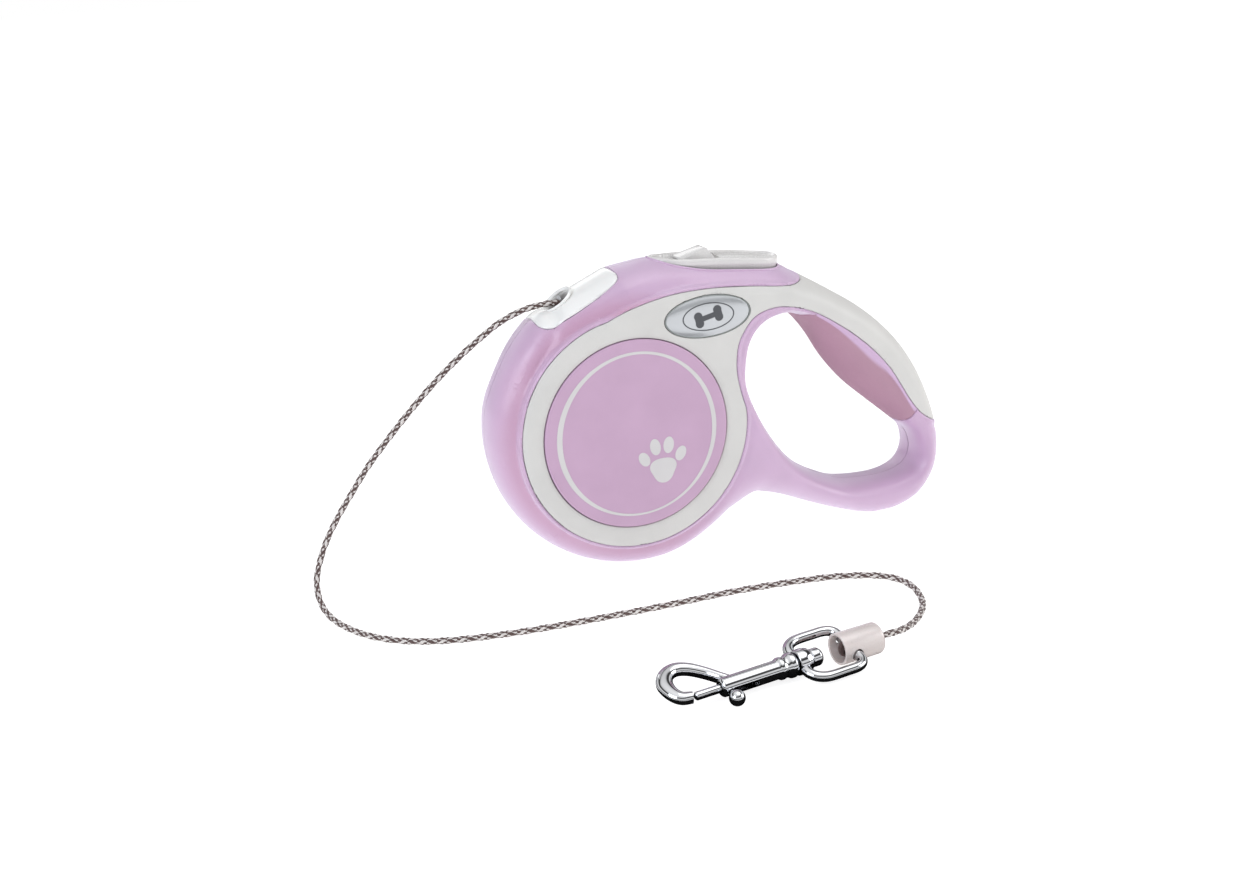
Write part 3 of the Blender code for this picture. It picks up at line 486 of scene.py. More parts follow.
def boundary(faces):
    """Edges with a face on one side only, in the direction that face runs."""
    edges = np.vstack([faces[:, [0, 1]], faces[:, [1, 2]], faces[:, [2, 0]]])
    seen = {tuple(edge) for edge in edges.tolist()}
    return [edge for edge in seen if (edge[1], edge[0]) not in seen]


def pull_in(points, edges, rim, distance):
    """Moves the points of a seam a little into the region."""
    push = np.zeros((len(points), 2))
    for a, b in edges:
        if rim[a] and rim[b]:
            continue
        run = points[b, [0, 2]] - points[a, [0, 2]]
        run /= max(np.linalg.norm(run), 1e-9)
        for end in (a, b):
            push[end] += (-run[1], run[0])
    length = np.linalg.norm(push, axis=1)
    moved = length > 1e-6
    points[np.ix_(moved, [0, 2])] += push[moved] / length[moved, None] * distance


def region_half(kind, net, base, normals, faces):
    """One region's surface on the left side: points, faces, which are on the rim, seam edges."""
    used, local = np.unique(faces, return_inverse=True)
    local = local.reshape(-1, 3)
    rim = np.abs(base[used, 1]) < AT_MID_PLANE
    points = base[used] + normals[used] * relief(kind, net[used])[:, None]
    points[rim, 1] = 0
    edges = boundary(local)
    pull_in(points, edges, rim, SEAM_SLIT)
    seam = [edge for edge in edges if not (rim[edge[0]] and rim[edge[1]])]
    return points, local, rim, seam


def closed_half(half, floor):
    """The region as a closed solid over a floor that is given for each point as its Y."""
    points, faces, rim, seam = half
    top = points.copy()
    top[:, 1] = np.minimum(top[:, 1], -SEAM_GAP)
    low = top.copy()
    low[:, 1] = np.maximum(floor, top[:, 1])
    low_index = np.where(rim, np.arange(len(top)), np.arange(len(top)) + len(top))
    walls = [(b, a, low_index[a], low_index[b]) for a, b in seam]
    walls = [tuple(dict.fromkeys(wall)) for wall in walls]
    under = [tuple(low_index[list(face)][::-1]) for face in faces]
    return np.vstack([top, low]), [tuple(f) for f in faces] + walls + under


def both_halves(half):
    """The region on both sides as one closed solid, joined at the mid plane."""
    points, faces, rim, seam = half
    count = len(points)
    far = points * (1, -1, 1)
    middle = points * (1, 0, 1)
    far_index = np.where(rim, np.arange(count), np.arange(count) + count)
    mid_index = np.where(rim, np.arange(count), np.arange(count) + 2 * count)
    solid = [tuple(f) for f in faces] + [tuple(far_index[list(f)][::-1]) for f in faces]
    for a, b in seam:
        solid.append(tuple(dict.fromkeys((b, a, mid_index[a], mid_index[b]))))
        solid.append(tuple(dict.fromkeys((far_index[a], far_index[b], mid_index[b], mid_index[a]))))
    return np.vstack([points, far, middle]), solid


def loose_points_removed(piece):
    """Drops points without faces, closes small gaps, and turns all faces outward."""
    shape = bmesh.new()
    shape.from_mesh(piece.data)
    bmesh.ops.delete(shape, geom=[v for v in shape.verts if not v.link_faces], context="VERTS")
    bmesh.ops.holes_fill(shape, edges=[e for e in shape.edges if e.is_boundary], sides=4)
    bmesh.ops.recalc_face_normals(shape, faces=shape.faces)
    bmesh.ops.triangulate(shape, faces=[f for f in shape.faces if len(f.verts) > 4])
    shape.to_mesh(piece.data)
    shape.free()
    return piece


def mirrored(source, name):
    """The right side's copy of a left-side piece."""
    piece = placed(name, source.data.copy())
    piece.data.transform(Matrix.Diagonal((1, -1, 1, 1)))
    piece.data.flip_normals()
    return piece


def shaded(piece, angle=38):
    """Smooth shading between edges sharper than the angle."""
    piece.data.shade_smooth()
    piece.data.set_sharp_from_angle(angle=math.radians(angle))
    return piece


def cut(piece, operation, *tools):
    """Applies one Boolean for each tool, and removes the tools."""
    for tool in tools:
        step = piece.modifiers.new("cut", "BOOLEAN")
        step.operation = operation
        step.solver = "MANIFOLD"
        step.object = tool
    bpy.context.view_layer.update()
    mesh = bpy.data.meshes.new_from_object(
        piece.evaluated_get(bpy.context.evaluated_depsgraph_get()))
    piece.modifiers.clear()
    piece.data = mesh
    for tool in tools:
        bpy.data.objects.remove(tool)
    return piece


SEAT_DEPTH = 2.15               # the trim's seat in the shell, below the surface
SEAT_EDGE = 3.9                 # no seat where the housing is thinner than this


def shell_solid(net, base, normals, shell, seat):
    """The left shell: its surface, the seat under the trim, and a flat back at the mid plane."""
    points, faces, rim, _ = region_half("shell", net, base, normals, shell)
    used = np.unique(shell)
    seat = seat[(np.abs(base[seat, 1]) > SEAT_EDGE).all(1)]
    while True:
        starts, count = np.unique([a for a, _ in boundary(seat)], return_counts=True)
        if count.max() < 2:
            break
        seat = seat[~np.isin(seat, starts[count > 1]).any(1)]
    seat_used = np.unique(seat)
    places = {}
    vertices = []

    def add(key, place):
        places[key] = len(vertices)
        vertices.append(place)

    for i, point, on_rim in zip(used, points, rim):
        add(("top", i), (point[0], min(point[1], -SEAM_GAP), point[2]))
        if on_rim:
            places["floor", i] = places["top", i]
        else:
            add(("floor", i), (point[0], -SEAM_GAP, point[2]))
    for i in seat_used:
        add(("seat", i), base[i] + (0, SEAT_DEPTH, 0))
        if ("floor", i) not in places:
            add(("floor", i), (base[i, 0], -SEAM_GAP, base[i, 2]))
    solid = []
    for level, group in (("top", shell), ("seat", seat)):
        solid += [tuple(places[level, i] for i in face) for face in group]
        solid += [tuple(places["floor", i] for i in face[::-1]) for face in group]
    seat_edges = set(boundary(seat))
    for a, b in boundary(shell):
        other = "seat" if (b, a) in seat_edges else "floor"
        wall = [places["top", b], places["top", a], places[other, a], places[other, b]]
        seat_edges.discard((b, a))
        if len(set(wall)) > 2:
            solid.append(tuple(dict.fromkeys(wall)))
    for a, b in seat_edges:
        solid.append((places["seat", b], places["seat", a], places["floor", a], places["floor", b]))
    return vertices, solid


def make_housing():
    """The left shell and trim, the nozzle and the grip pad, as closed solids."""
    net, faces = housing_net()
    base = np.stack([net[:, 0], -side_height(net), net[:, 1]], 1)
    normals = surface_normals(base, faces)
    areas = regions(net, faces)
    trim = region_half("trim", net, base, normals, areas["trim"])
    floor = np.minimum(trim[0][:, 1] + TRIM_DEPTH, -SEAM_GAP)
    solids = {"left_shell": shell_solid(net, base, normals, areas["shell"], areas["seat"]),
              "left_trim": closed_half(trim, floor)}
    for name, kind in (("nozzle", "nozzle"), ("grip_pad", "pad")):
        solids[name] = both_halves(region_half(kind, net, base, normals, areas[kind]))
    return {name: loose_points_removed(mesh_object(name, *solid))
            for name, solid in solids.items()}


# ---------------------------------------------------------------- turned, swept and plan shapes

def join_rings(rings, closed=False, caps=True):
    """Points and faces through rings of equal size."""
    count = len(rings[0])
    points = np.vstack(rings)
    faces = []
    last = len(rings) if closed else len(rings) - 1
    for i in range(last):
        a, b = i * count, (i + 1) % len(rings) * count
        faces += [(a + k, a + (k + 1) % count, b + (k + 1) % count, b + k) for k in range(count)]
    if caps and not closed:
        faces.append(tuple(range(count))[::-1])
        faces.append(tuple(range(len(points) - count, len(points))))
    return points, faces


def outward(piece):
    """Turns a closed mesh's faces outward and merges points that meet."""
    shape = bmesh.new()
    shape.from_mesh(piece.data)
    bmesh.ops.remove_doubles(shape, verts=shape.verts, dist=1e-7)
    bmesh.ops.dissolve_degenerate(shape, edges=shape.edges, dist=1e-7)
    bmesh.ops.recalc_face_normals(shape, faces=shape.faces)
    shape.to_mesh(piece.data)
    shape.free()
    return piece


def eased_profile(profile, steps=5):
    """A profile of (radius, height, corner radius) with its corners rounded."""
    line = []
    for i, (r, t, ease) in enumerate(profile):
        corner = np.array((r, t), float)
        if not ease:
            line.append(corner)
            continue
        before = np.array(profile[i - 1][:2], float) - corner
        after = np.array(profile[(i + 1) % len(profile)][:2], float) - corner
        back, ahead = before / np.linalg.norm(before), after / np.linalg.norm(after)
        start, end = corner + back * ease, corner + ahead * ease
        for k in range(steps + 1):
            u = k / steps
            line.append(start * (1 - u) ** 2 + corner * 2 * u * (1 - u) + end * u * u)
    return line


def turned(name, profile, matrix, steps=64, closed=False):
    """A solid turned about local X, from a profile of (radius, height, corner radius)."""
    rings = [np.column_stack([np.full(steps, t), ellipse((0, 0), (max(r, 0),) * 2, steps)])
             for r, t in eased_profile(profile)]
    piece = outward(mesh_object(name, *join_rings(rings, closed, caps=False)))
    piece.data.transform(matrix)
    return piece


def rod(name, radius, low, high, matrix, steps):
    """A plain round bar about local X."""
    return turned(name, [(0, low, 0), (radius, low, 0), (radius, high, 0), (0, high, 0)], matrix,
                  steps)


def swept(name, path, section, matrix=Matrix(), closed=False, sides=28, side=(0, 0, 1)):
    """A solid along a path; section(u) gives its half sizes across the side and along it."""
    path = np.array(path, float)
    side = np.array(side, float)
    count = len(path)
    angles = np.arange(sides) * 2 * np.pi / sides
    rings = []
    for i, point in enumerate(path):
        ahead = path[(i + 1) % count] if closed or i + 1 < count else path[i]
        behind = path[i - 1] if closed or i else path[i]
        run = (ahead - behind) / np.linalg.norm(ahead - behind)
        up = side - run * run.dot(side)
        up /= np.linalg.norm(up)
        across = np.cross(up, run)
        wide, tall = section(i / (count - 1))
        rings.append(point + np.outer(np.cos(angles) * wide, across)
                     + np.outer(np.sin(angles) * tall, up))
    piece = outward(mesh_object(name, *join_rings(rings, closed)))
    piece.data.transform(matrix)
    return piece


def plan_solid(name, outline, top, under, rows, walls, spacing=0.8, extra=()):
    """A solid over a plan outline (X, Y): its top, rows down its wall, and its underside."""
    loop = spaced(outline, 0.55, closed=True)
    loose = np.vstack([inward(loop, np.full(len(loop), d)) for d in rows] + list(extra))
    low, high = loop.min(0), loop.max(0)
    grid = grid_between(*(np.arange(low[k], high[k], spacing) for k in (0, 1)))
    gap = gaps(grid, np.vstack([loop, loose]), 500)
    free = np.vstack([loose, grid[gap > spacing * 0.5]])
    free = free[inside(free, loop)]
    count = len(loop)
    edges = [(i, (i + 1) % count) for i in range(count)]
    net, faces, _ = triangulated(np.vstack([loop, free]), edges, 1)
    heights = top(net, nearest(net, loop)[0])
    following = dict(boundary(faces))
    ring = [next(iter(following))]
    while following[ring[-1]] != ring[0]:
        ring.append(following[ring[-1]])
    points = [np.column_stack([net, heights])]
    solid = [tuple(f) for f in faces]
    edge = net[ring]
    count = len(ring)
    previous, first = list(ring), len(net)
    for inset, drop in walls:
        z = heights[ring] - drop if drop is not None else under(edge)
        points.append(np.column_stack([inward(edge, np.full(count, inset)), z]))
        current = list(range(first, first + count))
        first += count
        solid += [(previous[k], current[k], current[(k + 1) % count], previous[(k + 1) % count])
                  for k in range(count)]
        previous = current
    solid.append(tuple(previous[::-1]))
    return outward(mesh_object(name, np.vstack(points), solid))


def prism(name, outline, low, high):
    """A solid of an X-Z outline between two distances from the mid plane."""
    rings = [np.array([(x, y, z) for x, z in outline]) for y in (low, high)]
    return outward(mesh_object(name, *join_rings(rings)))


def bevelled(piece, width, segments=3, angle=30):
    step = piece.modifiers.new("bevel", "BEVEL")
    step.width = width * MM
    step.segments = segments
    step.limit_method = "ANGLE"
    step.angle_limit = math.radians(angle)
    return cut(piece, "DIFFERENCE")


def along(place, axis, side=(0, 1, 0)):
    """Local X along an axis, from a place in millimetres."""
    x = Vector(axis).normalized()
    y = (Vector(side) - x * x.dot(Vector(side))).normalized()
    return (Matrix.Translation(Vector(place) * MM)
            @ Matrix((x, y, x.cross(y))).transposed().to_4x4())


def facing(centre, side):
    """Local X out of the left (-1) or right (+1) side, at a place on the side."""
    return along((centre[0], 0, centre[1]), (0, side, 0), (1, 0, 0))


# ---------------------------------------------------------------- brake button and lock

PRESS_TILT = math.radians(8)
PRESS = Vector((-math.sin(PRESS_TILT), 0, -math.cos(PRESS_TILT)))
BUTTON_PLAN = [
    (-20, 0), (-19.2, 1.8), (-17.6, 3.6), (-15.4, 5.1), (-12.6, 6.2), (-8.6, 7.0), (-3.5, 7.4),
    (4, 7.4), (11, 7.35), (14.6, 7.1), (17.1, 6.4), (19.2, 4.9), (20.5, 2.7), (21, 0),
]
BUTTON_HALF_WIDTH = 7.4
BUTTON_TOP = [(-20, 91.3), (-17.5, 91.3), (-14, 90.9), (-8, 90.6), (-2, 90.2), (4, 89.5),
              (10, 88.7), (15, 87.9), (20, 87.1), (22, 86.5)]
BUTTON_CROWN = 0.35             # the top's middle is this much higher, its edges as much lower
BUTTON_UNDER = [(-20, 88.0), (-18.4, 87.9), (-14, 86.6), (0, 84.6), (20.8, 81.2), (22, 81.1)]
BUTTON_LEVEL = 88               # the height at which BUTTON_PLAN gives the pocket's place
POCKET_GAP = 0.4
RIM_LIP = 0.42                  # radius of the raised edge round the pocket
SPRING_FOOT = Vector((7.4, 0, 73.2))
TROUGH_FLOOR = (-7, 89)
TROUGH = (-17.4, 1.0, 4.35)     # first and last X, and half width
TROUGH_RIM = 1.45               # what the trough leaves of the button's edge
GROOVE = ((2.7, 0), (17.6, 0))
LOCK_TAB = [(-10.6, 0.25), (0.5, 0.25), (0.4, 0.7), (-2.1, 3.95), (-2.9, 3.95), (-10.5, 0.8)]
LOCK_TAB_HEIGHTS = (0.7, 3.95)  # of its foot and its crest over the trough's floor
LOCK_TAB_WIDTHS = (3.95, 3.0)   # half its width at these heights


def profile_height(line, x):
    knots = np.array(line)
    return np.interp(x, knots[:, 0], knots[:, 1])


def trough_height(x):
    return TROUGH_FLOOR[1] - math.tan(PRESS_TILT) * (x - TROUGH_FLOOR[0])


def button_outline():
    half = smooth_path(BUTTON_PLAN, 0.5)
    return np.vstack([half[:-1] * (1, -1), half[:0:-1]])


def button_top(p, edge):
    """A raised lip round a shallow dish, with a groove and the lock tab's trough."""
    x, y = p.T
    crown = BUTTON_CROWN * (1 - 2 * (y / BUTTON_HALF_WIDTH) ** 2)
    height = profile_height(BUTTON_TOP, x) + crown
    t = 1 - np.clip(edge / 0.55, 0, 1)
    height -= 0.5 * (1 - np.sqrt(1 - t * t))                            # the rounded edge
    height -= 0.62 * ramp(0.75, 1.75, edge) + 0.1 * ramp(1.5, 6, edge)  # the dish
    near, _ = nearest(p, np.array(GROOVE, float), closed=False)
    height -= 0.42 * (1 - ramp(0.7, 1.5, near))                         # the groove
    height += 0.1 * ramp(1.3, 1.6, near) * (1 - ramp(1.6, 2.3, near))   # the groove's lip
    floor = trough_height(x) - 0.05
    first, last, half = TROUGH
    reach = np.minimum(np.minimum(x - first, last - x), half - np.abs(y))
    reach = np.minimum(reach, edge - TROUGH_RIM)
    return np.where(reach > -0.25, np.minimum(height, floor + np.maximum(-reach, 0) * 4), height)


def make_button():
    first, last, half = TROUGH
    lines = []                  # rows of points along the trough's walls and the groove's edges
    for out in (-0.25, 0.0, 0.3):
        x = np.arange(first - out, last + out + 0.01, 0.4)
        y = np.arange(-half - out, half + out + 0.01, 0.4)
        lines += [grid_between(x, (-half - out, half + out)),
                  grid_between((first - out, last + out), y)]
    for out in (0.7, 1.1, 1.5, 1.9):
        x = np.arange(GROOVE[0][0] - 0.5, GROOVE[1][0] + 0.6, 0.45)
        lines.append(grid_between(x, (-out, out)))
    rows = (0.12, 0.25, 0.4, 0.55, 0.75, 0.95, 1.15, 1.3, 1.45, 1.7, 1.95)
    walls = ((-0.04, 0.75), (0.0, 1.1), (0.14, 1.45), (0.3, 1.75), (0.95, None))
    button = plan_solid("brake_button", button_outline(), button_top,
                        lambda p: profile_height(BUTTON_UNDER, p[:, 0]), rows, walls, extra=lines)
    seat = rod("spring_seat", 2.45, 6, 13, along(SPRING_FOOT, -PRESS), 48)
    return cut(button, "DIFFERENCE", seat)


def make_lock_tab():
    rings = [np.array([(x, side * np.interp(z, LOCK_TAB_HEIGHTS, LOCK_TAB_WIDTHS),
                        z + trough_height(x)) for x, z in LOCK_TAB]) for side in (-1, 1)]
    return bevelled(outward(mesh_object("lock_tab", *join_rings(rings))), 0.14, 2)


def pocket_plan(grow, z):
    """The pocket's outline at a height: the button's own, grown and moved along the press axis."""
    loop = spaced(button_outline(), 0.6, closed=True)
    grown = inward(loop, np.full(len(loop), -grow))
    return np.column_stack([grown[:, 0] + pocket_shift(z), grown[:, 1], np.full(len(grown), z)])


def pocket_shift(z):
    return (z - BUTTON_LEVEL) * math.tan(PRESS_TILT)


def pocket_cutter():
    rings = [pocket_plan(POCKET_GAP, z) for z in (74.5, 102)]
    return outward(mesh_object("pocket_cutter", *join_rings(rings)))


def rim_lip():
    """The thin raised edge round the button's pocket, on the left half."""
    path = []
    for x, y, _ in pocket_plan(POCKET_GAP + 0.22, BUTTON_LEVEL):
        if y > -SEAM_GAP:
            continue
        low, high = 79.0, 92.0
        for _ in range(26):     # halves the range until the housing's surface is met
            z = (low + high) / 2
            p = np.array([(x + pocket_shift(z), z)])
            tall = side_height(p)[0] if inside(p, OUTER)[0] else 0
            low, high = (z, high) if tall > -y else (low, z)
        path.append((x + pocket_shift(z), y, z - 0.1))
    path = spaced(smooth_path(path, 5), 0.5, axes=3)
    path[0, 1] = path[-1, 1] = -SEAM_GAP
    return swept("rim_lip", path, lambda u: (RIM_LIP, RIM_LIP), sides=12)


# ---------------------------------------------------------------- label and badge

CRESCENT = (24.7, (23.2, 24.0), (0.15, -0.1))     # outer radius, inner half sizes, inner centre
PAW_PLACE = (7.2, -9.8)
PAW_SIZE = 1.1
PRINT_HEIGHT = 0.06
BONE_LENGTH = 8.6
BONE_ANGLE = 12
BADGE_RIM_AT = 14.36            # its distance from the mid plane
BADGE_RIM_RADIUS = 0.13
BADGE_OVAL = ((8.1, 4.1), (7.75, 3.8))      # outer and inner half sizes of the oval line


def make_label(side):
    face, r = LABEL_FACE, LABEL_RADIUS
    profile = [(0, face, 0), (r * 0.5, face, 0), (r - 1.2, face - 0.02, 0),
               (r - 0.05, face - 0.1, 0.5), (r - 0.02, face - 0.9, 0), (r, PANEL_BACK, 0),
               (0, PANEL_BACK, 0)]
    return turned("label", profile, facing(LABEL_CENTRE, side), steps=160)


def flat_shape(name, loops, height, side, centre, base):
    """Thin raised print: one outline filled, or the space between two, in X and Z."""
    shape = bmesh.new()
    rings = []
    for loop in loops:
        rings.append([shape.verts.new(((centre[0] + x) * MM, side * (base + height) * MM,
                                       (centre[1] + z) * MM)) for x, z in loop])
    if len(rings) == 2:
        count = len(rings[0])
        top = [shape.faces.new((rings[0][k], rings[0][(k + 1) % count],
                                rings[1][(k + 1) % count], rings[1][k])) for k in range(count)]
    else:
        top = [shape.faces.new(rings[0])]
    deep = bmesh.ops.extrude_face_region(shape, geom=top)
    moved = [v for v in deep["geom"] if isinstance(v, bmesh.types.BMVert)]
    bmesh.ops.translate(shape, verts=moved, vec=(0, -side * (height + 0.25) * MM, 0))
    bmesh.ops.recalc_face_normals(shape, faces=shape.faces)
    mesh = bpy.data.meshes.new(name)
    shape.to_mesh(mesh)
    shape.free()
    return placed(name, mesh)


def rotated(loop, angle, centre):
    """An outline about the origin, turned by an angle in degrees and put at a centre."""
    cos, sin = math.cos(math.radians(angle)), math.sin(math.radians(angle))
    x, z = loop.T
    return np.stack([centre[0] + x * cos - z * sin, centre[1] + x * sin + z * cos], 1)


def paw_loops(centre, size):
    """A plain paw: a rounded pad and four toes."""
    angles = np.arange(64) * 2 * np.pi / 64
    wide = 3.5 - 0.35 * np.cos(3 * angles + np.pi / 2) - 0.25 * np.cos(2 * angles)
    pad = np.stack([np.cos(angles) * wide * 1.12, np.sin(angles) * wide * 0.92 - 1.9], 1)
    toes = [rotated(ellipse((0, 0), toe, 40), angle, place) for place, toe, angle in (
        ((-5.2, 1.7), (1.45, 2.1), 28), ((-1.9, 4.6), (1.5, 2.3), 9),
        ((1.9, 4.6), (1.5, 2.3), -9), ((5.2, 1.7), (1.45, 2.1), -28))]
    return [loop * size + centre for loop in [pad] + toes]


def make_print(side):
    name = SIDE_WORDS[side] + "_print"
    outer, inner, shift = CRESCENT
    loops = [[ellipse((0, 0), (outer, outer), 180), ellipse(shift, inner, 180)]]
    loops += [[loop] for loop in paw_loops(np.array(PAW_PLACE), PAW_SIZE)]
    return joined([flat_shape(name, group, PRINT_HEIGHT, side, LABEL_CENTRE, LABEL_FACE)
                   for group in loops], name)


def joined(pieces, name):
    """One object from several."""
    shape = bmesh.new()
    for piece in pieces:
        shape.from_mesh(piece.data)
        bpy.data.objects.remove(piece)
    mesh = bpy.data.meshes.new(name)
    shape.to_mesh(mesh)
    shape.free()
    return placed(name, mesh)


def make_badge(side):
    top = BADGE_TOP
    profile = [(0, top, 0), (0.3, top - 0.03, 0), (0.6, top - 0.13, 0), (0.84, top - 0.33, 0),
               (0.965, top - 0.58, 0.05), (0.99, top - 1.0, 0), (1, PANEL_BACK, 0),
               (0, PANEL_BACK, 0)]
    stretch = Matrix.Diagonal((1, *BADGE_SIZE, 1))
    return turned("badge", profile, facing(BADGE_CENTRE, side) @ stretch, steps=120)


def bone_loop(length):
    """A plain bone outline."""
    radius, half = length * 0.15, length * 0.36
    lobes = ((half, -1, 166, 385), (half, 1, -25, 194), (-half, 1, -14, 205), (-half, -1, 155, 374))
    return np.vstack([arc((x, side * radius * 0.85), radius, start, end, 14)
                      for x, side, start, end in lobes])


def make_badge_marks(side, look):
    """A thin dark rim, and a plain bone in an oval line."""
    word = SIDE_WORDS[side]
    line = ellipse((0, 0), [size - 0.12 for size in BADGE_SIZE], 120)
    rim = swept(word + "_badge_rim", np.column_stack([np.full(len(line), BADGE_RIM_AT), line]),
                lambda u: (BADGE_RIM_RADIUS,) * 2, facing(BADGE_CENTRE, side), closed=True,
                sides=10, side=(1, 0, 0))
    finish(rim, look["badge_rim"], "housing", "badge")
    oval = flat_shape("oval", [ellipse((0, 0), size, 96) for size in BADGE_OVAL], PRINT_HEIGHT,
                      side, BADGE_CENTRE, BADGE_TOP - 0.14)
    bone = flat_shape("bone", [rotated(bone_loop(BONE_LENGTH), BONE_ANGLE, (0, 0))], 0.04, side,
                      BADGE_CENTRE, BADGE_TOP)
    finish(joined([oval, bone], word + "_badge_mark"), look["ink"], "housing", "badge", angle=0)


# ---------------------------------------------------------------- sleeve, ring and hook

RING_AT = 8.8                   # distance of the ring's cross wire from the sleeve's closed end
SWIVEL = JOINTS["hook_swivel"]
TILT = JOINTS["ring_tilt"]
RING_PLACE = Vector(TILT["pos_m"]) / MM
RING_AXIS = Vector(TILT["axis"])
HOOK_AXIS = Vector(SWIVEL["axis"])
HOOK = along(RING_PLACE - HOOK_AXIS * RING_AT, HOOK_AXIS, RING_AXIS)
LEVEL = Vector((*RING_AXIS.xy, 0)).normalized()
HEADING = Vector((-LEVEL.y, LEVEL.x, 0))
SLEEVE = along(RING_PLACE - HEADING * RING_AT, HEADING, RING_AXIS)
RING_HALF = [
    (24, 2.2), (24.3, 4.4), (23.3, 6.5), (21.2, 7.8), (18.6, 8.15), (15, 8.15), (12, 8.1),
    (10.1, 7.5), (9, 6.2), (8.8, 4.6), (8.8, 2.2),
]
EYE = [(43.5, 0.9), (45.5, 3.3), (48.2, 6.9), (51.2, 9.9), (54.4, 11.2), (57.6, 10.1), (59.6, 7),
       (59.6, 3.4), (58.3, 0.9), (55.7, 0)]
EYE_WIDTHS = ((0, 0.12, 0.3, 0.45, 0.6, 0.75, 0.88, 1),
              (1.2, 1.3, 1.5, 1.75, 2.05, 2.25, 1.9, 1.5))
KNOB_AT = 45.8


def make_sleeve():
    profile = [(1.3, 0, 0), (4.2, 0, 0.9), (4.25, 12.5, 0.18), (3.6, 12.5, 0.18), (3.55, 1.1, 0.6),
               (1.3, 1.1, 0)]
    sleeve = turned("cord_sleeve", profile, SLEEVE, steps=72, closed=True)
    across = Matrix.Translation((RING_AT * MM, 0, 0)) @ Matrix.Rotation(math.pi / 2, 4, "Z")
    return cut(sleeve, "DIFFERENCE", rod("drill", 1.65, -9, 9, SLEEVE @ across, 40))


def make_ring():
    """The wire bent into a D, with the boss that the hook's rivet turns in."""
    path = smooth_path([(t, v, 0) for t, v in RING_HALF]
                       + [(t, -v, 0) for t, v in RING_HALF[::-1]], 0.45)

    def section(u):
        near_boss = max(0, 1 - min(u, 1 - u) / 0.2)
        return 1.33 + 0.2 * near_boss, 1.33 - 0.05 * near_boss

    wire = swept("swivel_ring", path, section, HOOK, sides=28)
    boss = turned("boss", [(0, 21.5, 0), (3.1, 21.5, 0.45), (3.45, 23.2, 0.4), (3.3, 25.4, 0.4),
                           (0, 25.4, 0)], HOOK, steps=56)
    cut(wire, "UNION", boss)
    return cut(wire, "DIFFERENCE", rod("drill", 1.6, 15, 30, HOOK, 40))


def make_rivet():
    profile = [(0, 17.75, 0), (1.75, 17.85, 0.3), (2.4, 18.6, 0.3), (2.4, 20.7, 0.3),
               (1.9, 21.25, 0.2), (1.22, 21.3, 0), (1.22, 27.6, 0), (0, 27.6, 0)]
    return turned("swivel_rivet", profile, HOOK, steps=56)


def make_hook():
    """The barrel with its rear flange, its eye, its bore, and the slot for the knob."""
    profile = [(0, 25.9, 0), (2.9, 25.9, 0.3), (3.3, 26.5, 0.25), (3.3, 27.6, 0.3),
               (2.75, 28.5, 0.25), (2.75, 29.2, 0), (2.95, 29.7, 0.25), (2.95, 30.5, 0.25),
               (2.5, 31.2, 0.3), (2.5, 47.2, 0.4), (1.9, 47.73, 0.2), (0, 47.73, 0)]
    barrel = turned("hook_body", profile, HOOK, steps=64)
    path = smooth_path([(41.6, -0.7, 0.01)] + [(t, v, 0) for t, v in EYE], 0.4)

    def section(u):
        return np.interp(u, *EYE_WIDTHS), 1.55 + 0.15 * math.sin(math.pi * u)

    eye = swept("eye", path, section, HOOK, sides=32)
    bore = rod("bore", 1.4, 29.2, 49, HOOK, 40)
    slot = bevelled(prism("slot", [(37.6, -0.95), (46.9, -0.95), (46.9, 0.95), (37.6, 0.95)],
                          -5.0, -0.4), 0.8, 4)
    slot.data.transform(HOOK)
    cut(barrel, "UNION", eye)
    cut(barrel, "DIFFERENCE", bore)
    return cut(barrel, "DIFFERENCE", slot)


def make_bolt():
    """A pin whose thin tail slides inside its spring."""
    profile = [(0, 38.5, 0), (0.6, 38.5, 0.1), (0.6, 45.1, 0), (1.12, 45.1, 0.1),
               (1.12, 54.7, 0.3), (0.6, 55.1, 0), (0, 55.1, 0)]
    return turned("hook_bolt", profile, HOOK, steps=40)


def make_knob():
    """A ball on a short neck."""
    profile = [(0, 0.9, 0), (0.68, 0.9, 0), (0.68, 2.9, 0), (0.95, 3.2, 0)]
    ball = [(2.1 * math.sin(a), 5.0 - 2.1 * math.cos(a), 0) for a in np.linspace(0.5, math.pi, 20)]
    place = HOOK @ Matrix.Translation((KNOB_AT * MM, 0, 0)) @ Matrix.Rotation(-math.pi / 2, 4, "Z")
    return turned("bolt_knob", profile + ball, place, steps=48)


# ---------------------------------------------------------------- cord

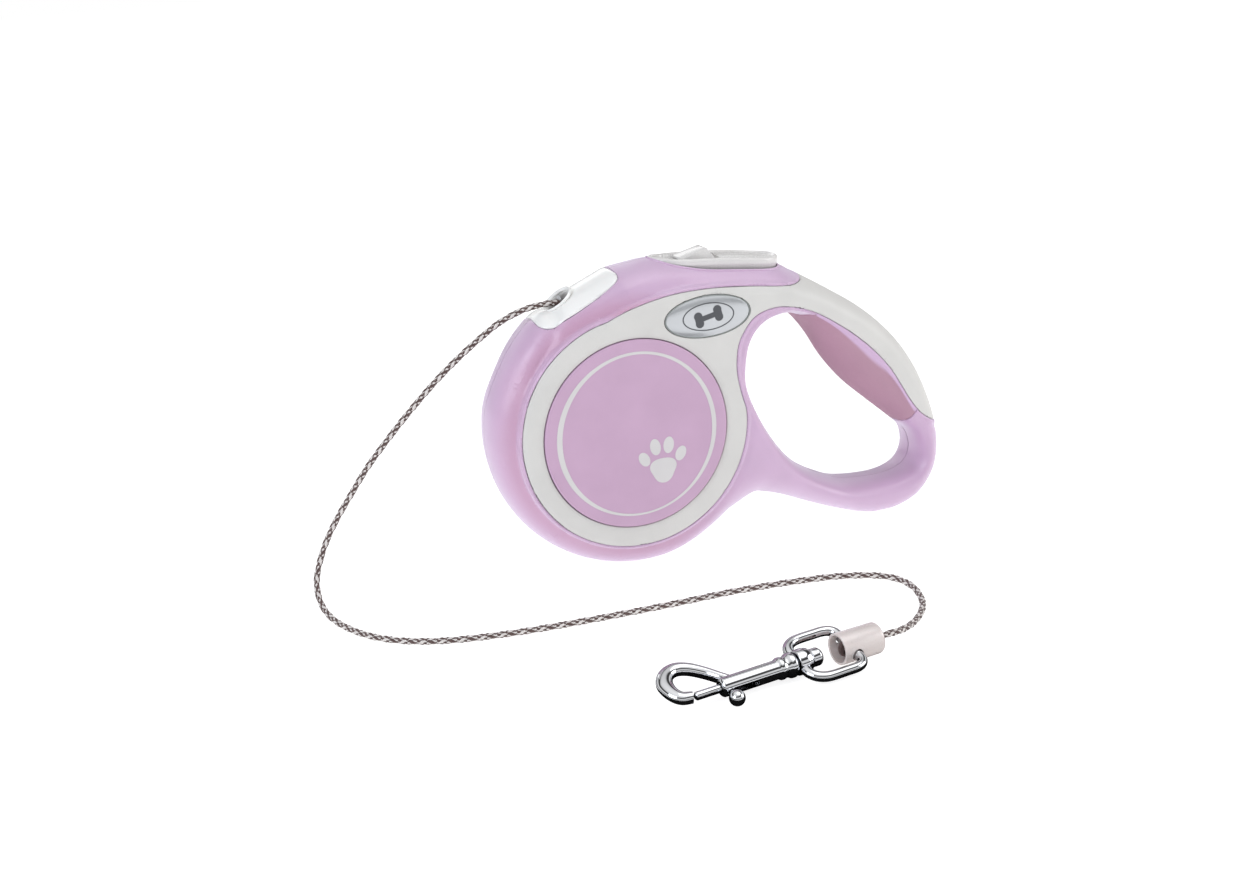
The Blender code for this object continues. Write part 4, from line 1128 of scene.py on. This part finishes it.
CORD_ROUTE = [                  # the free cord's route in part.py, here in metres
    (-0.0496, 0, 0.0822), (-0.0526, 0, 0.0823), (-0.0566, 0, 0.0819), (-0.0599, 0, 0.0812),
    (-0.0642, 0.0002, 0.0796), (-0.0682, 0.0005, 0.0775), (-0.0768, 0.0012, 0.0716),
    (-0.0853, 0.0025, 0.0645), (-0.0938, 0.004, 0.0562), (-0.1006, 0.006, 0.0485),
    (-0.1069, 0.008, 0.0408), (-0.1122, 0.01, 0.033), (-0.1176, 0.012, 0.0246),
    (-0.1216, 0.0125, 0.0176), (-0.1247, 0.0115, 0.0108), (-0.126, 0.009, 0.0064),
    (-0.126, 0.004, 0.0028), (-0.1245, -0.004, 0.0011), (-0.1207, -0.015, 0.001),
    (-0.1149, -0.024, 0.001), (-0.107, -0.0307, 0.001), (-0.097, -0.0353, 0.001),
    (-0.082, -0.0388, 0.001), (-0.064, -0.0408, 0.001), (-0.039, -0.0422, 0.001),
    (-0.014, -0.0428, 0.001), (0.009, -0.046, 0.001), (0.02, -0.0498, 0.001),
    (0.0263, -0.0544, 0.001), (0.029, -0.06, 0.001), (0.029, -0.067, 0.001),
    (0.0261, -0.076, 0.001), (0.0215, -0.0825, 0.001), (0.016, -0.088, 0.0016),
    (0.0105, -0.0924, 0.0028), (0.0055, -0.0951, 0.0039), (0.0012, -0.09617, 0.00425),
    (-0.0005, -0.09641, 0.00425),
]
CORD_LEAD_IN = [(-0.0440, 0, 0.0793), (-0.0470, 0, 0.0811)]
CORD_TAIL = [(-0.004, -0.0969, 0.00425)]        # on into the sleeve, to its loop
CORE_RADIUS = 0.62
STRAND_PITCH = 11.0             # length in which a strand goes once round the cord
STRAND_STEPS = 14               # points on each strand in that length
STRAND_CENTRE = 0.60            # its mean distance from the cord's middle
STRAND_WAVE = 0.13              # how much it rises and falls over and under the others
STRAND_RADII = (0.4375, 0.28)   # half its width and half its height
STRANDS = 4                     # in each direction


def parallel_frames(path):
    """Directions across a path that don't twist."""
    run = np.gradient(path, axis=0)
    run /= np.linalg.norm(run, axis=1)[:, None]
    across = np.cross(run[0], (0, 0, 1))
    across /= np.linalg.norm(across)
    rows = []
    for direction in run:
        across = across - direction * across.dot(direction)
        across /= np.linalg.norm(across)
        rows.append(across)
    across = np.array(rows)
    return across, np.cross(run, across)


def make_cord():
    """Eight strands, four each way, over and under each other round a dark core."""
    route = [tuple(c / MM for c in p) for p in CORD_LEAD_IN + CORD_ROUTE + CORD_TAIL]
    path = spaced(smooth_path(route, 0.5), STRAND_PITCH / STRAND_STEPS, axes=3)
    across, up = parallel_frames(path)
    turn = np.arange(len(path)) * 2 * np.pi / STRAND_STEPS
    shapes, kinds = [], []
    for way in (1, -1):
        for k in range(STRANDS):
            angle = way * (turn + 2 * np.pi * k / STRANDS)
            over = np.cos(turn * STRANDS + np.pi * k + (0 if way > 0 else np.pi))
            radius = STRAND_CENTRE + STRAND_WAVE * over
            centre = (path + across * (radius * np.cos(angle))[:, None]
                      + up * (radius * np.sin(angle))[:, None])
            out = across * np.cos(angle)[:, None] + up * np.sin(angle)[:, None]
            shapes.append((centre, out, *STRAND_RADII, 6))
            kinds.append(0 if way > 0 else 1)
    shapes.append((path, up, CORE_RADIUS, CORE_RADIUS, 8))
    kinds.append(0)
    points, faces, slots = [], [], []
    for (centre, out, wide, tall, sides), kind in zip(shapes, kinds):
        run = np.gradient(centre, axis=0)
        run /= np.linalg.norm(run, axis=1)[:, None]
        side = np.cross(run, out)
        side /= np.linalg.norm(side, axis=1)[:, None]
        out = np.cross(side, run)
        angles = np.arange(sides) * 2 * np.pi / sides
        rings = [c + np.outer(np.cos(angles) * wide, s) + np.outer(np.sin(angles) * tall, o)
                 for c, s, o in zip(centre, side, out)]
        tube_points, tube_faces = join_rings(rings)
        first = sum(len(p) for p in points)
        points.append(tube_points)
        faces += [tuple(first + i for i in f) for f in tube_faces]
        slots += [kind] * len(tube_faces)
    cord = mesh_object("free_cord", np.vstack(points), faces)
    cord.data.materials.append(None)
    cord.data.materials.append(None)
    cord.data.polygons.foreach_set("material_index", slots)
    return cord


# ---------------------------------------------------------------- materials

def linear(colour):
    """A linear colour from an sRGB one in 0 to 255."""
    return tuple(((c / 255 + 0.055) / 1.055) ** 2.4 if c > 10 else c / 255 / 12.92
                 for c in colour) + (1.0,)


PAD_TAPER = 0.11                # evens out the pad's narrowing along X
PAD_BORDER = (16.3, 16.7)       # distance from the mid plane, evened, where the lip starts
MOUTH_SHADE_AT = 2.6            # centre of the shade in the mouth, along the funnel's axis
MOUTH_SHADE = (4.5, 2.6)        # its outer radius, and where it is full
VALLEY_SHADE_INNER = (0.5, 1.5)     # the valley's shade starts and is full, outside the trim's ring
VALLEY_SHADE_OUTER = (7.5, 1.6)     # it ends, and starts to fade
VALLEY_SHADE_X = (2, -26)           # it sets in along X, from the handle towards the drum


class Nodes:
    """The node tree of a material or a world, built node by node."""

    def __init__(self, owner):
        owner.use_nodes = True
        self.owner = owner
        self.tree = owner.node_tree
        self.shader = self.tree.nodes.get("Principled BSDF")

    def put(self, value, socket):
        """A value, or another node's output, into a socket."""
        if isinstance(value, bpy.types.NodeSocket):
            self.tree.links.new(value, socket)
        else:
            socket.default_value = value

    def add(self, kind, inputs=None, **settings):
        node = self.tree.nodes.new("ShaderNode" + kind)
        for key, value in settings.items():
            setattr(node, key, value)
        for key, value in (inputs or {}).items():
            self.put(value, node.inputs[key])
        return node

    def give(self, **inputs):
        """Inputs of the shader, with underscores for spaces."""
        for key, value in inputs.items():
            self.put(value, self.shader.inputs[key.replace("_", " ")])

    def place(self):
        return self.add("TexCoord").outputs["Object"]

    def noise(self, scale, detail=2.0, stretch=None):
        place = self.place()
        if stretch:
            place = self.add("Mapping", {"Vector": place, "Scale": stretch}).outputs["Vector"]
        noise = self.add("TexNoise", {"Vector": place, "Scale": scale, "Detail": detail})
        return noise.outputs["Fac"]

    def mapped(self, value, source, target, **settings):
        span = self.add("MapRange", {"Value": value, "From Min": source[0], "From Max": source[1],
                                     "To Min": target[0], "To Max": target[1]}, **settings)
        return span.outputs["Result"]

    def between(self, value, low, high, source=(0.3, 0.7)):
        return self.mapped(value, source, (low, high))

    def step(self, value, low, high):
        """0 below low and 1 above high, both in millimetres; the other way when high is lower."""
        source, target = ((high, low), (1, 0)) if high < low else ((low, high), (0, 1))
        return self.mapped(value, [end * MM for end in source], target,
                           interpolation_type="SMOOTHSTEP")

    def blend(self, value, first, second):
        """Between two colours, each a value or another node's output."""
        mix = self.add("Mix", {0: value}, data_type="RGBA")
        for socket, colour in zip([s for s in mix.inputs if s.type == "RGBA"], (first, second)):
            self.put(colour, socket)
        return next(s for s in mix.outputs if s.type == "RGBA")

    def product(self, first, second):
        return self.add("Math", {0: first, 1: second}, operation="MULTIPLY").outputs[0]

    def distance(self, place, centre):
        """From a place to a centre in millimetres."""
        inputs = {0: place, 1: tuple(c * MM for c in centre)}
        return self.add("VectorMath", inputs, operation="DISTANCE").outputs["Value"]

    def at_pad_border(self):
        """1 on the grip pad's outer edge, whose lip has the shell's colour."""
        x, y, _ = self.add("SeparateXYZ", {0: self.place()}).outputs
        wide = self.add("Math", {0: y}, operation="ABSOLUTE").outputs[0]
        evened = self.add("Math", {0: x, 1: PAD_TAPER, 2: wide}, operation="MULTIPLY_ADD")
        return self.step(evened.outputs[0], *PAD_BORDER)

    def in_funnel(self):
        """1 inside the cord's mouth, where little light gets in."""
        (x, z), axis = FUNNEL
        reach = self.distance(self.place(), Vector((x, 0, z)) + axis * MOUTH_SHADE_AT)
        return self.step(reach, *MOUTH_SHADE)

    def in_painted_valley_shade(self):
        """1 in the hollow round the trim, where a deeper colour is painted on as shade."""
        x, _, z = self.add("SeparateXYZ", {0: self.place()}).outputs
        flat = self.add("CombineXYZ", {"X": x, "Z": z}).outputs[0]
        (middle_x, middle_z), radius = TRIM_RING
        reach = self.distance(flat, (middle_x, 0, middle_z))
        ring = self.product(*(self.step(reach, radius + start, radius + end)
                              for start, end in (VALLEY_SHADE_INNER, VALLEY_SHADE_OUTER)))
        return self.product(ring, self.step(x, *VALLEY_SHADE_X))

    def bump(self, height, depth, normal=None):
        inputs = {"Strength": 1.0, "Distance": depth, "Height": height}
        if normal:
            inputs["Normal"] = normal
        return self.add("Bump", inputs).outputs["Normal"]


def shade(colour, factor):
    return tuple(min(c * factor, 1.0) for c in colour[:3]) + (1.0,)


MOTTLE = 0.03                   # slow changes of a plastic's brightness


def plastic(name, colour, roughness, grain_scale=2600, grain_depth=0.00002, coat=0.0,
            coat_roughness=0.05, specular=0.5, scatter=0.0, metallic=0.0, sheen=0.0,
            painted_valley_shade=None, funnel=None, border=None):
    """Moulded plastic: a fine grain, and slow changes of colour and gloss."""
    nodes = Nodes(bpy.data.materials.new(name))
    base = linear(colour)
    slow = nodes.noise(90, 3)
    tint = nodes.blend(nodes.between(slow, 0, 1), shade(base, 1 - MOTTLE), shade(base, 1 + MOTTLE))
    # the valley's colour is painted shade in the hollow round the trim
    for area, other in ((nodes.in_painted_valley_shade, painted_valley_shade), (nodes.at_pad_border, border),
                        (nodes.in_funnel, funnel)):
        if other:
            tint = nodes.blend(area(), tint, linear(other))
    fine = nodes.noise(grain_scale, 2)
    coarse = nodes.bump(nodes.noise(380, 2), grain_depth * 0.8)
    nodes.give(Base_Color=tint, Metallic=metallic, Normal=nodes.bump(fine, grain_depth, coarse),
               Roughness=nodes.between(fine, roughness * 0.86, roughness * 1.14),
               Specular_IOR_Level=specular, Coat_Weight=coat, Coat_Roughness=coat_roughness,
               Sheen_Weight=sheen, Sheen_Tint=(0.86, 0.84, 1.0, 1))
    if scatter:
        nodes.give(Subsurface_Weight=scatter, Subsurface_Radius=(1.0, 0.8, 0.8),
                   Subsurface_Scale=0.0015)
    return nodes.owner


def metal(name, colour, roughness, brushed=None, edge=(1, 1, 1)):
    """Plated or bare metal with faint unevenness; edge tints its grazing reflections."""
    nodes = Nodes(bpy.data.materials.new(name))
    base = linear(colour)
    slow = nodes.noise(260, 3)
    fine = nodes.noise(1800, 3, brushed)
    nodes.give(Base_Color=nodes.blend(nodes.between(slow, 0, 1), shade(base, 0.97), base),
               Metallic=1.0, Specular_Tint=(*edge, 1), Normal=nodes.bump(slow, 0.00001),
               Roughness=nodes.between(fine, roughness * 0.75, roughness * 1.35))
    return nodes.owner


def yarn(name, colour, dark):
    """Cord fibre: fine threads along the strands, matt, with a little sheen."""
    nodes = Nodes(bpy.data.materials.new(name))
    thread = nodes.noise(5200, 3)
    shading = nodes.between(thread, 0, 1, (0.35, 0.65))
    nodes.give(Base_Color=nodes.blend(shading, linear(dark), linear(colour)), Sheen_Weight=0.25,
               Roughness=nodes.between(nodes.noise(900, 2), 0.55, 0.8),
               Normal=nodes.bump(thread, 0.00006))
    return nodes.owner


def make_materials():
    return {
        # its valley colour is a deeper pink painted on as shade in the hollow round the trim
        "lilac": plastic("lilac_shell", (198, 167, 197), 0.44, specular=0.45, scatter=0.15,
                         coat=0.7, coat_roughness=0.36, painted_valley_shade=(193, 151, 180), sheen=0.5),
        "label": plastic("label", (194, 162, 189), 0.48, grain_depth=0.00001, specular=0.35),
        "panel": plastic("white_panel", (208, 207, 204), 0.46, specular=0.4),
        "print": plastic("white_print", (208, 206, 206), 0.5, grain_depth=0.000006),
        "badge": plastic("badge", (190, 193, 196), 0.2, grain_depth=0.000002, coat=1.0,
                         coat_roughness=0.03, metallic=0.45),
        "ink": plastic("badge_ink", (74, 76, 80), 0.35, grain_depth=0.000004),
        "badge_rim": plastic("badge_rim", (140, 146, 143), 0.3, grain_depth=0.000004),
        "gloss": plastic("white_gloss", (240, 240, 238), 0.24, grain_depth=0.000004, coat=0.6,
                         coat_roughness=0.08, scatter=0.1, funnel=(120, 116, 114)),
        # the white gloss made darker than the nozzle's, as painted shade on the brake button and
        # its lock tab
        "button": plastic("button_white_painted_shade", (216, 214, 212), 0.26, grain_depth=0.000004, coat=0.6,
                          coat_roughness=0.08),
        "grip": plastic("soft_grip", (178, 140, 158), 0.62, grain_scale=1700,
                        grain_depth=0.00004, specular=0.3, border=(206, 178, 208)),
        "sleeve": plastic("sleeve", (219, 209, 206), 0.3, grain_depth=0.00001, coat=0.8,
                          coat_roughness=0.12, scatter=0.2),
        "black": plastic("black_plastic", (44, 44, 47), 0.45, grain_depth=0.00003),
        "chrome": metal("chrome", (206, 207, 210), 0.06, edge=(0.5, 0.5, 0.52)),
        "steel": metal("steel", (178, 178, 182), 0.28, brushed=(1, 12, 1)),
        "brown": yarn("cord_brown", (98, 74, 70), (54, 38, 36)),
        "white": yarn("cord_white", (240, 237, 234), (196, 188, 184)),
    }


# ---------------------------------------------------------------- studio

FLOOR_GREYS = (176, 178)
FLOOR_GLOW = 0.85
SOFT_LIGHT = 0.41
STUDIO_BANDS = [                # brightness that gloss reflects, by the direction's height
    (0.0, 0.7), (0.30, 0.6), (0.42, 0.1), (0.5, 0.04), (0.55, 0.12), (0.62, 0.95),
    (0.71, 1.15), (0.755, 0.1), (0.84, 0.05), (0.89, 0.9), (1.0, 1.3),
]
DARK_CARD = (62, 26.04, 34, 0.25)       # half length and breadth, place along the hook, height
BAND_SCALE = 2.0                # the ramp holds no more than 1, so it holds the bands over this


def stage_sheet(name, corners, **inputs):
    """A flat sheet of the studio, with a matt material."""
    mesh = bpy.data.meshes.new(name)
    mesh.from_pydata(corners, [], [(0, 1, 2, 3)])
    sheet = placed(name, mesh)
    nodes = Nodes(bpy.data.materials.new(name))
    nodes.give(Specular_IOR_Level=0.0, **inputs)
    mesh.materials.append(nodes.owner)
    return sheet, nodes


def make_floor():
    corners = [(-4, -4, 0), (4, -4, 0), (4, 4, 0), (-4, 4, 0)]
    _, nodes = stage_sheet("floor", corners, Roughness=0.9, Emission_Color=(1, 1, 1, 1),
                           Emission_Strength=FLOOR_GLOW)
    nodes.give(Base_Color=nodes.blend(nodes.noise(6, 2), *(linear((g,) * 3) for g in FLOOR_GREYS)))


def make_world():
    """White to the camera, soft white to matt surfaces, and a banded studio to gloss."""
    world = bpy.data.worlds.new("studio")
    bpy.context.scene.world = world
    nodes = Nodes(world)
    nodes.tree.nodes.clear()

    def background(colour, strength):
        return nodes.add("Background", {"Color": colour, "Strength": strength}).outputs[0]

    direction = nodes.add("TexCoord").outputs["Generated"]
    upward = nodes.add("SeparateXYZ", {0: direction}).outputs["Z"]
    bands = nodes.add("ValToRGB", {"Fac": nodes.mapped(upward, (-1, 1), (0, 1))})
    stops = bands.color_ramp.elements
    while len(stops) < len(STUDIO_BANDS):
        stops.new(0.5)
    for stop, (height, value) in zip(stops, STUDIO_BANDS):
        stop.position = height
        stop.color = (*(value / BAND_SCALE,) * 3, 1)
    studio = background(bands.outputs["Color"], BAND_SCALE)
    soft = background((1.0, 0.985, 0.99, 1), SOFT_LIGHT)
    white = background((1, 1, 1, 1), 1.0)
    ray = nodes.add("LightPath").outputs
    unseen = nodes.add("MixShader", {0: ray["Is Glossy Ray"], 1: soft, 2: studio}).outputs[0]
    seen = nodes.add("MixShader", {0: ray["Is Camera Ray"], 1: unseen, 2: white}).outputs[0]
    nodes.add("OutputWorld", {"Surface": seen})


LIGHTS = [                      # name, place, target, size, power in watts, colour
    ("key", (-0.75, -0.35, 0.5), (0, 0, 0.04), 0.5, 3.7, (0.85, 0.91, 1.0)),
    ("top", (0.25, -0.15, 0.85), (0, 0, 0.05), 0.6, 1.9, (1.0, 1.0, 1.0)),
    ("right", (0.75, -0.35, 0.35), (0.02, 0, 0.04), 0.5, 2.6, (0.97, 0.98, 1.0)),
    ("back", (0.0, 0.75, 0.4), (0, 0, 0.05), 0.6, 0.8, (1.0, 1.0, 1.0)),
]


def make_dark_card():
    """A black card that only the chrome's reflections see, on the floor under the hook."""
    half_length, half_breadth, under, height = DARK_CARD
    ahead = Vector((*HOOK_AXIS.xy, 0)).normalized() * half_length * MM
    aside = Vector((-ahead.y, ahead.x, 0)) * (half_breadth / half_length)
    middle = HOOK @ Vector((under * MM, 0, 0))
    middle.z = height * MM
    corners = [middle - ahead - aside, middle + ahead - aside, middle + ahead + aside,
               middle - ahead + aside]
    card, _ = stage_sheet("dark_card", corners, Roughness=1.0, Base_Color=(0.01, 0.01, 0.01, 1))
    card.visible_camera = card.visible_diffuse = card.visible_shadow = False


def make_lights():
    for name, place, target, size, power, colour in LIGHTS:
        light = bpy.data.lights.new(name, "AREA")
        light.energy, light.size, light.color = power, size, colour
        toward = (Vector(target) - Vector(place)).to_track_quat("-Z", "Y")
        placed(name, light).matrix_world = (Matrix.Translation(place)
                                            @ toward.to_matrix().to_4x4())


# ---------------------------------------------------------------- everything put together

def finish(piece, material, body, slot, *nodes, name=None, angle=38):
    """Names, shades and paints a piece, and says what it rides on and stands for."""
    if name or nodes:
        piece.name = name or nodes[0] + "_form"
    if angle:
        shaded(piece, angle)
    if material:
        piece.data.materials.clear()
        piece.data.materials.append(material)
    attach(piece, body)
    if nodes:
        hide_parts(*nodes)
    return piece


REEL_CENTRE = (-32.3, 43.7)
BORE = along((MOUTH[0], 0, MOUTH[1]), BORE_DIRECTION)
SCREW_TOPS = [((-3.5, 12.5), 10.4), ((27.5, 11.3), 9.4), ((66.2, 9.4), 7.4)]    # place, level


def screw_bosses():
    """Round pads that keep the screws' heads below the right shell's surface."""
    return [turned("boss", [(0, 2.5, 0), (2.6, 2.5, 0), (3.05, 4.5, 0), (3.05, top + 0.3, 0.4),
                            (0, top + 0.3, 0)], facing(place, 1), steps=48)
            for place, top in SCREW_TOPS]


def shell_cutters(side):
    """The reel's room, the button's pocket, the cord's bore, and the screws' holes."""
    room = turned("reel_room", [(0, -10.2, 0), (33.2, -10.2, 0.8), (35.0, -8.6, 0.5),
                                (35.0, 8.6, 0.5), (33.2, 10.2, 0.8), (0, 10.2, 0)],
                  facing(REEL_CENTRE, -1), steps=120)
    bore = rod("shell_bore", 2.2, -14, 3, BORE, 32)
    well = rod("spring_well", 2.8, -9, 9, along(SPRING_FOOT - PRESS * 9, -PRESS), 32)
    cutters = [room, pocket_cutter(), bore, funnel_cutter(), well]
    if side < 0:
        outline = [(-21, 73.5), (-15.5, 73.5), (-15.5, 90), (-21, 90)]
        return cutters + [prism("pawl_room", outline, -4, -0.4)]
    return cutters + [rod("screw_room", 2.4, top - 0.7, 20, facing(place, 1), 48)
                      for place, top in SCREW_TOPS]


def funnel_cutter():
    """The trumpet that the cord runs out over."""
    profile = [(0, -1.5), (1.6, -1.5), (1.75, 0), (2.05, 0.9), (2.5, 1.7), (3.2, 2.45), (4.0, 3.0),
               (4.5, 3.3), (5.3, 3.9), (6.6, 5.2), (0, 5.2)]
    (x, z), axis = FUNNEL
    return turned("funnel", [(r, t, 0) for r, t in profile], along((x, 0, z), axis), steps=72)


def nozzle_cuts(nozzle):
    """A soft lip round the mouth, then the funnel and the bore."""
    (x, z), axis = FUNNEL
    angles = np.linspace(0, 2 * np.pi, 17)[:-1]
    lip = turned("lip", [(4.55 + 0.6 * math.cos(a), 3.05 + 0.6 * math.sin(a), 0) for a in angles],
                 along((x, 0, z), axis), steps=72, closed=True)
    cut(nozzle, "UNION", lip)
    return cut(nozzle, "DIFFERENCE", funnel_cutter(), rod("bore", 1.7, -24, -1, BORE, 48))


CAD_FINISHES = {                # the looks of the nodes that are shown as they are in the CAD
    "black": ("reel", "reel_cover", "spring_arbor", "brake_pawl"),
    "steel": ("mainspring", "left_washer", "right_washer", "screw_1", "screw_2", "screw_3",
              "screw_4", "button_spring", "bolt_spring"),
    "brown": ("cord_winding", "cord_inner_run", "cord_loop"),
}


def build():
    made = make_housing()
    look = make_materials()
    cut(made["left_shell"], "UNION", rim_lip())
    halves = {-1: (made["left_shell"], made["left_trim"])}
    halves[1] = tuple(mirrored(half, "right") for half in halves[-1])
    cut(halves[1][0], "UNION", *screw_bosses())
    for side, (shell, trim) in halves.items():
        word = SIDE_WORDS[side]
        cut(shell, "DIFFERENCE", *shell_cutters(side))
        finish(shell, look["lilac"], "housing", "lilac_shell", word + "_shell")
        finish(trim, look["panel"], "housing", "white_panel", word + "_trim")
        finish(make_label(side), look["label"], "housing", "label", word + "_label")
        finish(make_print(side), look["print"], "housing", "white_panel", angle=0)
        finish(make_badge(side), look["badge"], "housing", "badge", word + "_badge")
        make_badge_marks(side, look)
    finish(nozzle_cuts(made["nozzle"]), look["gloss"], "housing", "white_gloss", "nozzle")
    finish(made["grip_pad"], look["grip"], "housing", "soft_grip", "grip_pad")
    finish(make_button(), look["button"], "brake", "white_gloss", "brake_button", angle=50)
    finish(make_lock_tab(), look["button"], "lock", "white_gloss", "lock_tab", angle=24)

    fittings = [finish(make(), look[kind], body, kind, node) for make, kind, body, node in (
        (make_sleeve, "sleeve", "housing", "cord_sleeve"),
        (make_ring, "chrome", "ring", "swivel_ring"),
        (make_rivet, "chrome", "hook", "swivel_rivet"),
        (make_hook, "chrome", "hook", "hook_body"),
        (make_bolt, "chrome", "bolt", "hook_bolt"),
        (make_knob, "chrome", "bolt", "bolt_knob"))]

    cord = make_cord()
    cord.data.materials[0], cord.data.materials[1] = look["brown"], look["white"]
    finish(cord, None, "housing", "cord", "free_cord", name="braided_cord", angle=70)

    for kind, names in CAD_FINISHES.items():
        for name in names:
            for slot in bpy.data.objects[name].material_slots:
                slot.link = "OBJECT"
                slot.material = look[kind]


bpy.context.scene.view_settings.view_transform = "Standard"
make_camera()
make_world()
make_lights()
make_floor()
make_dark_card()
build()
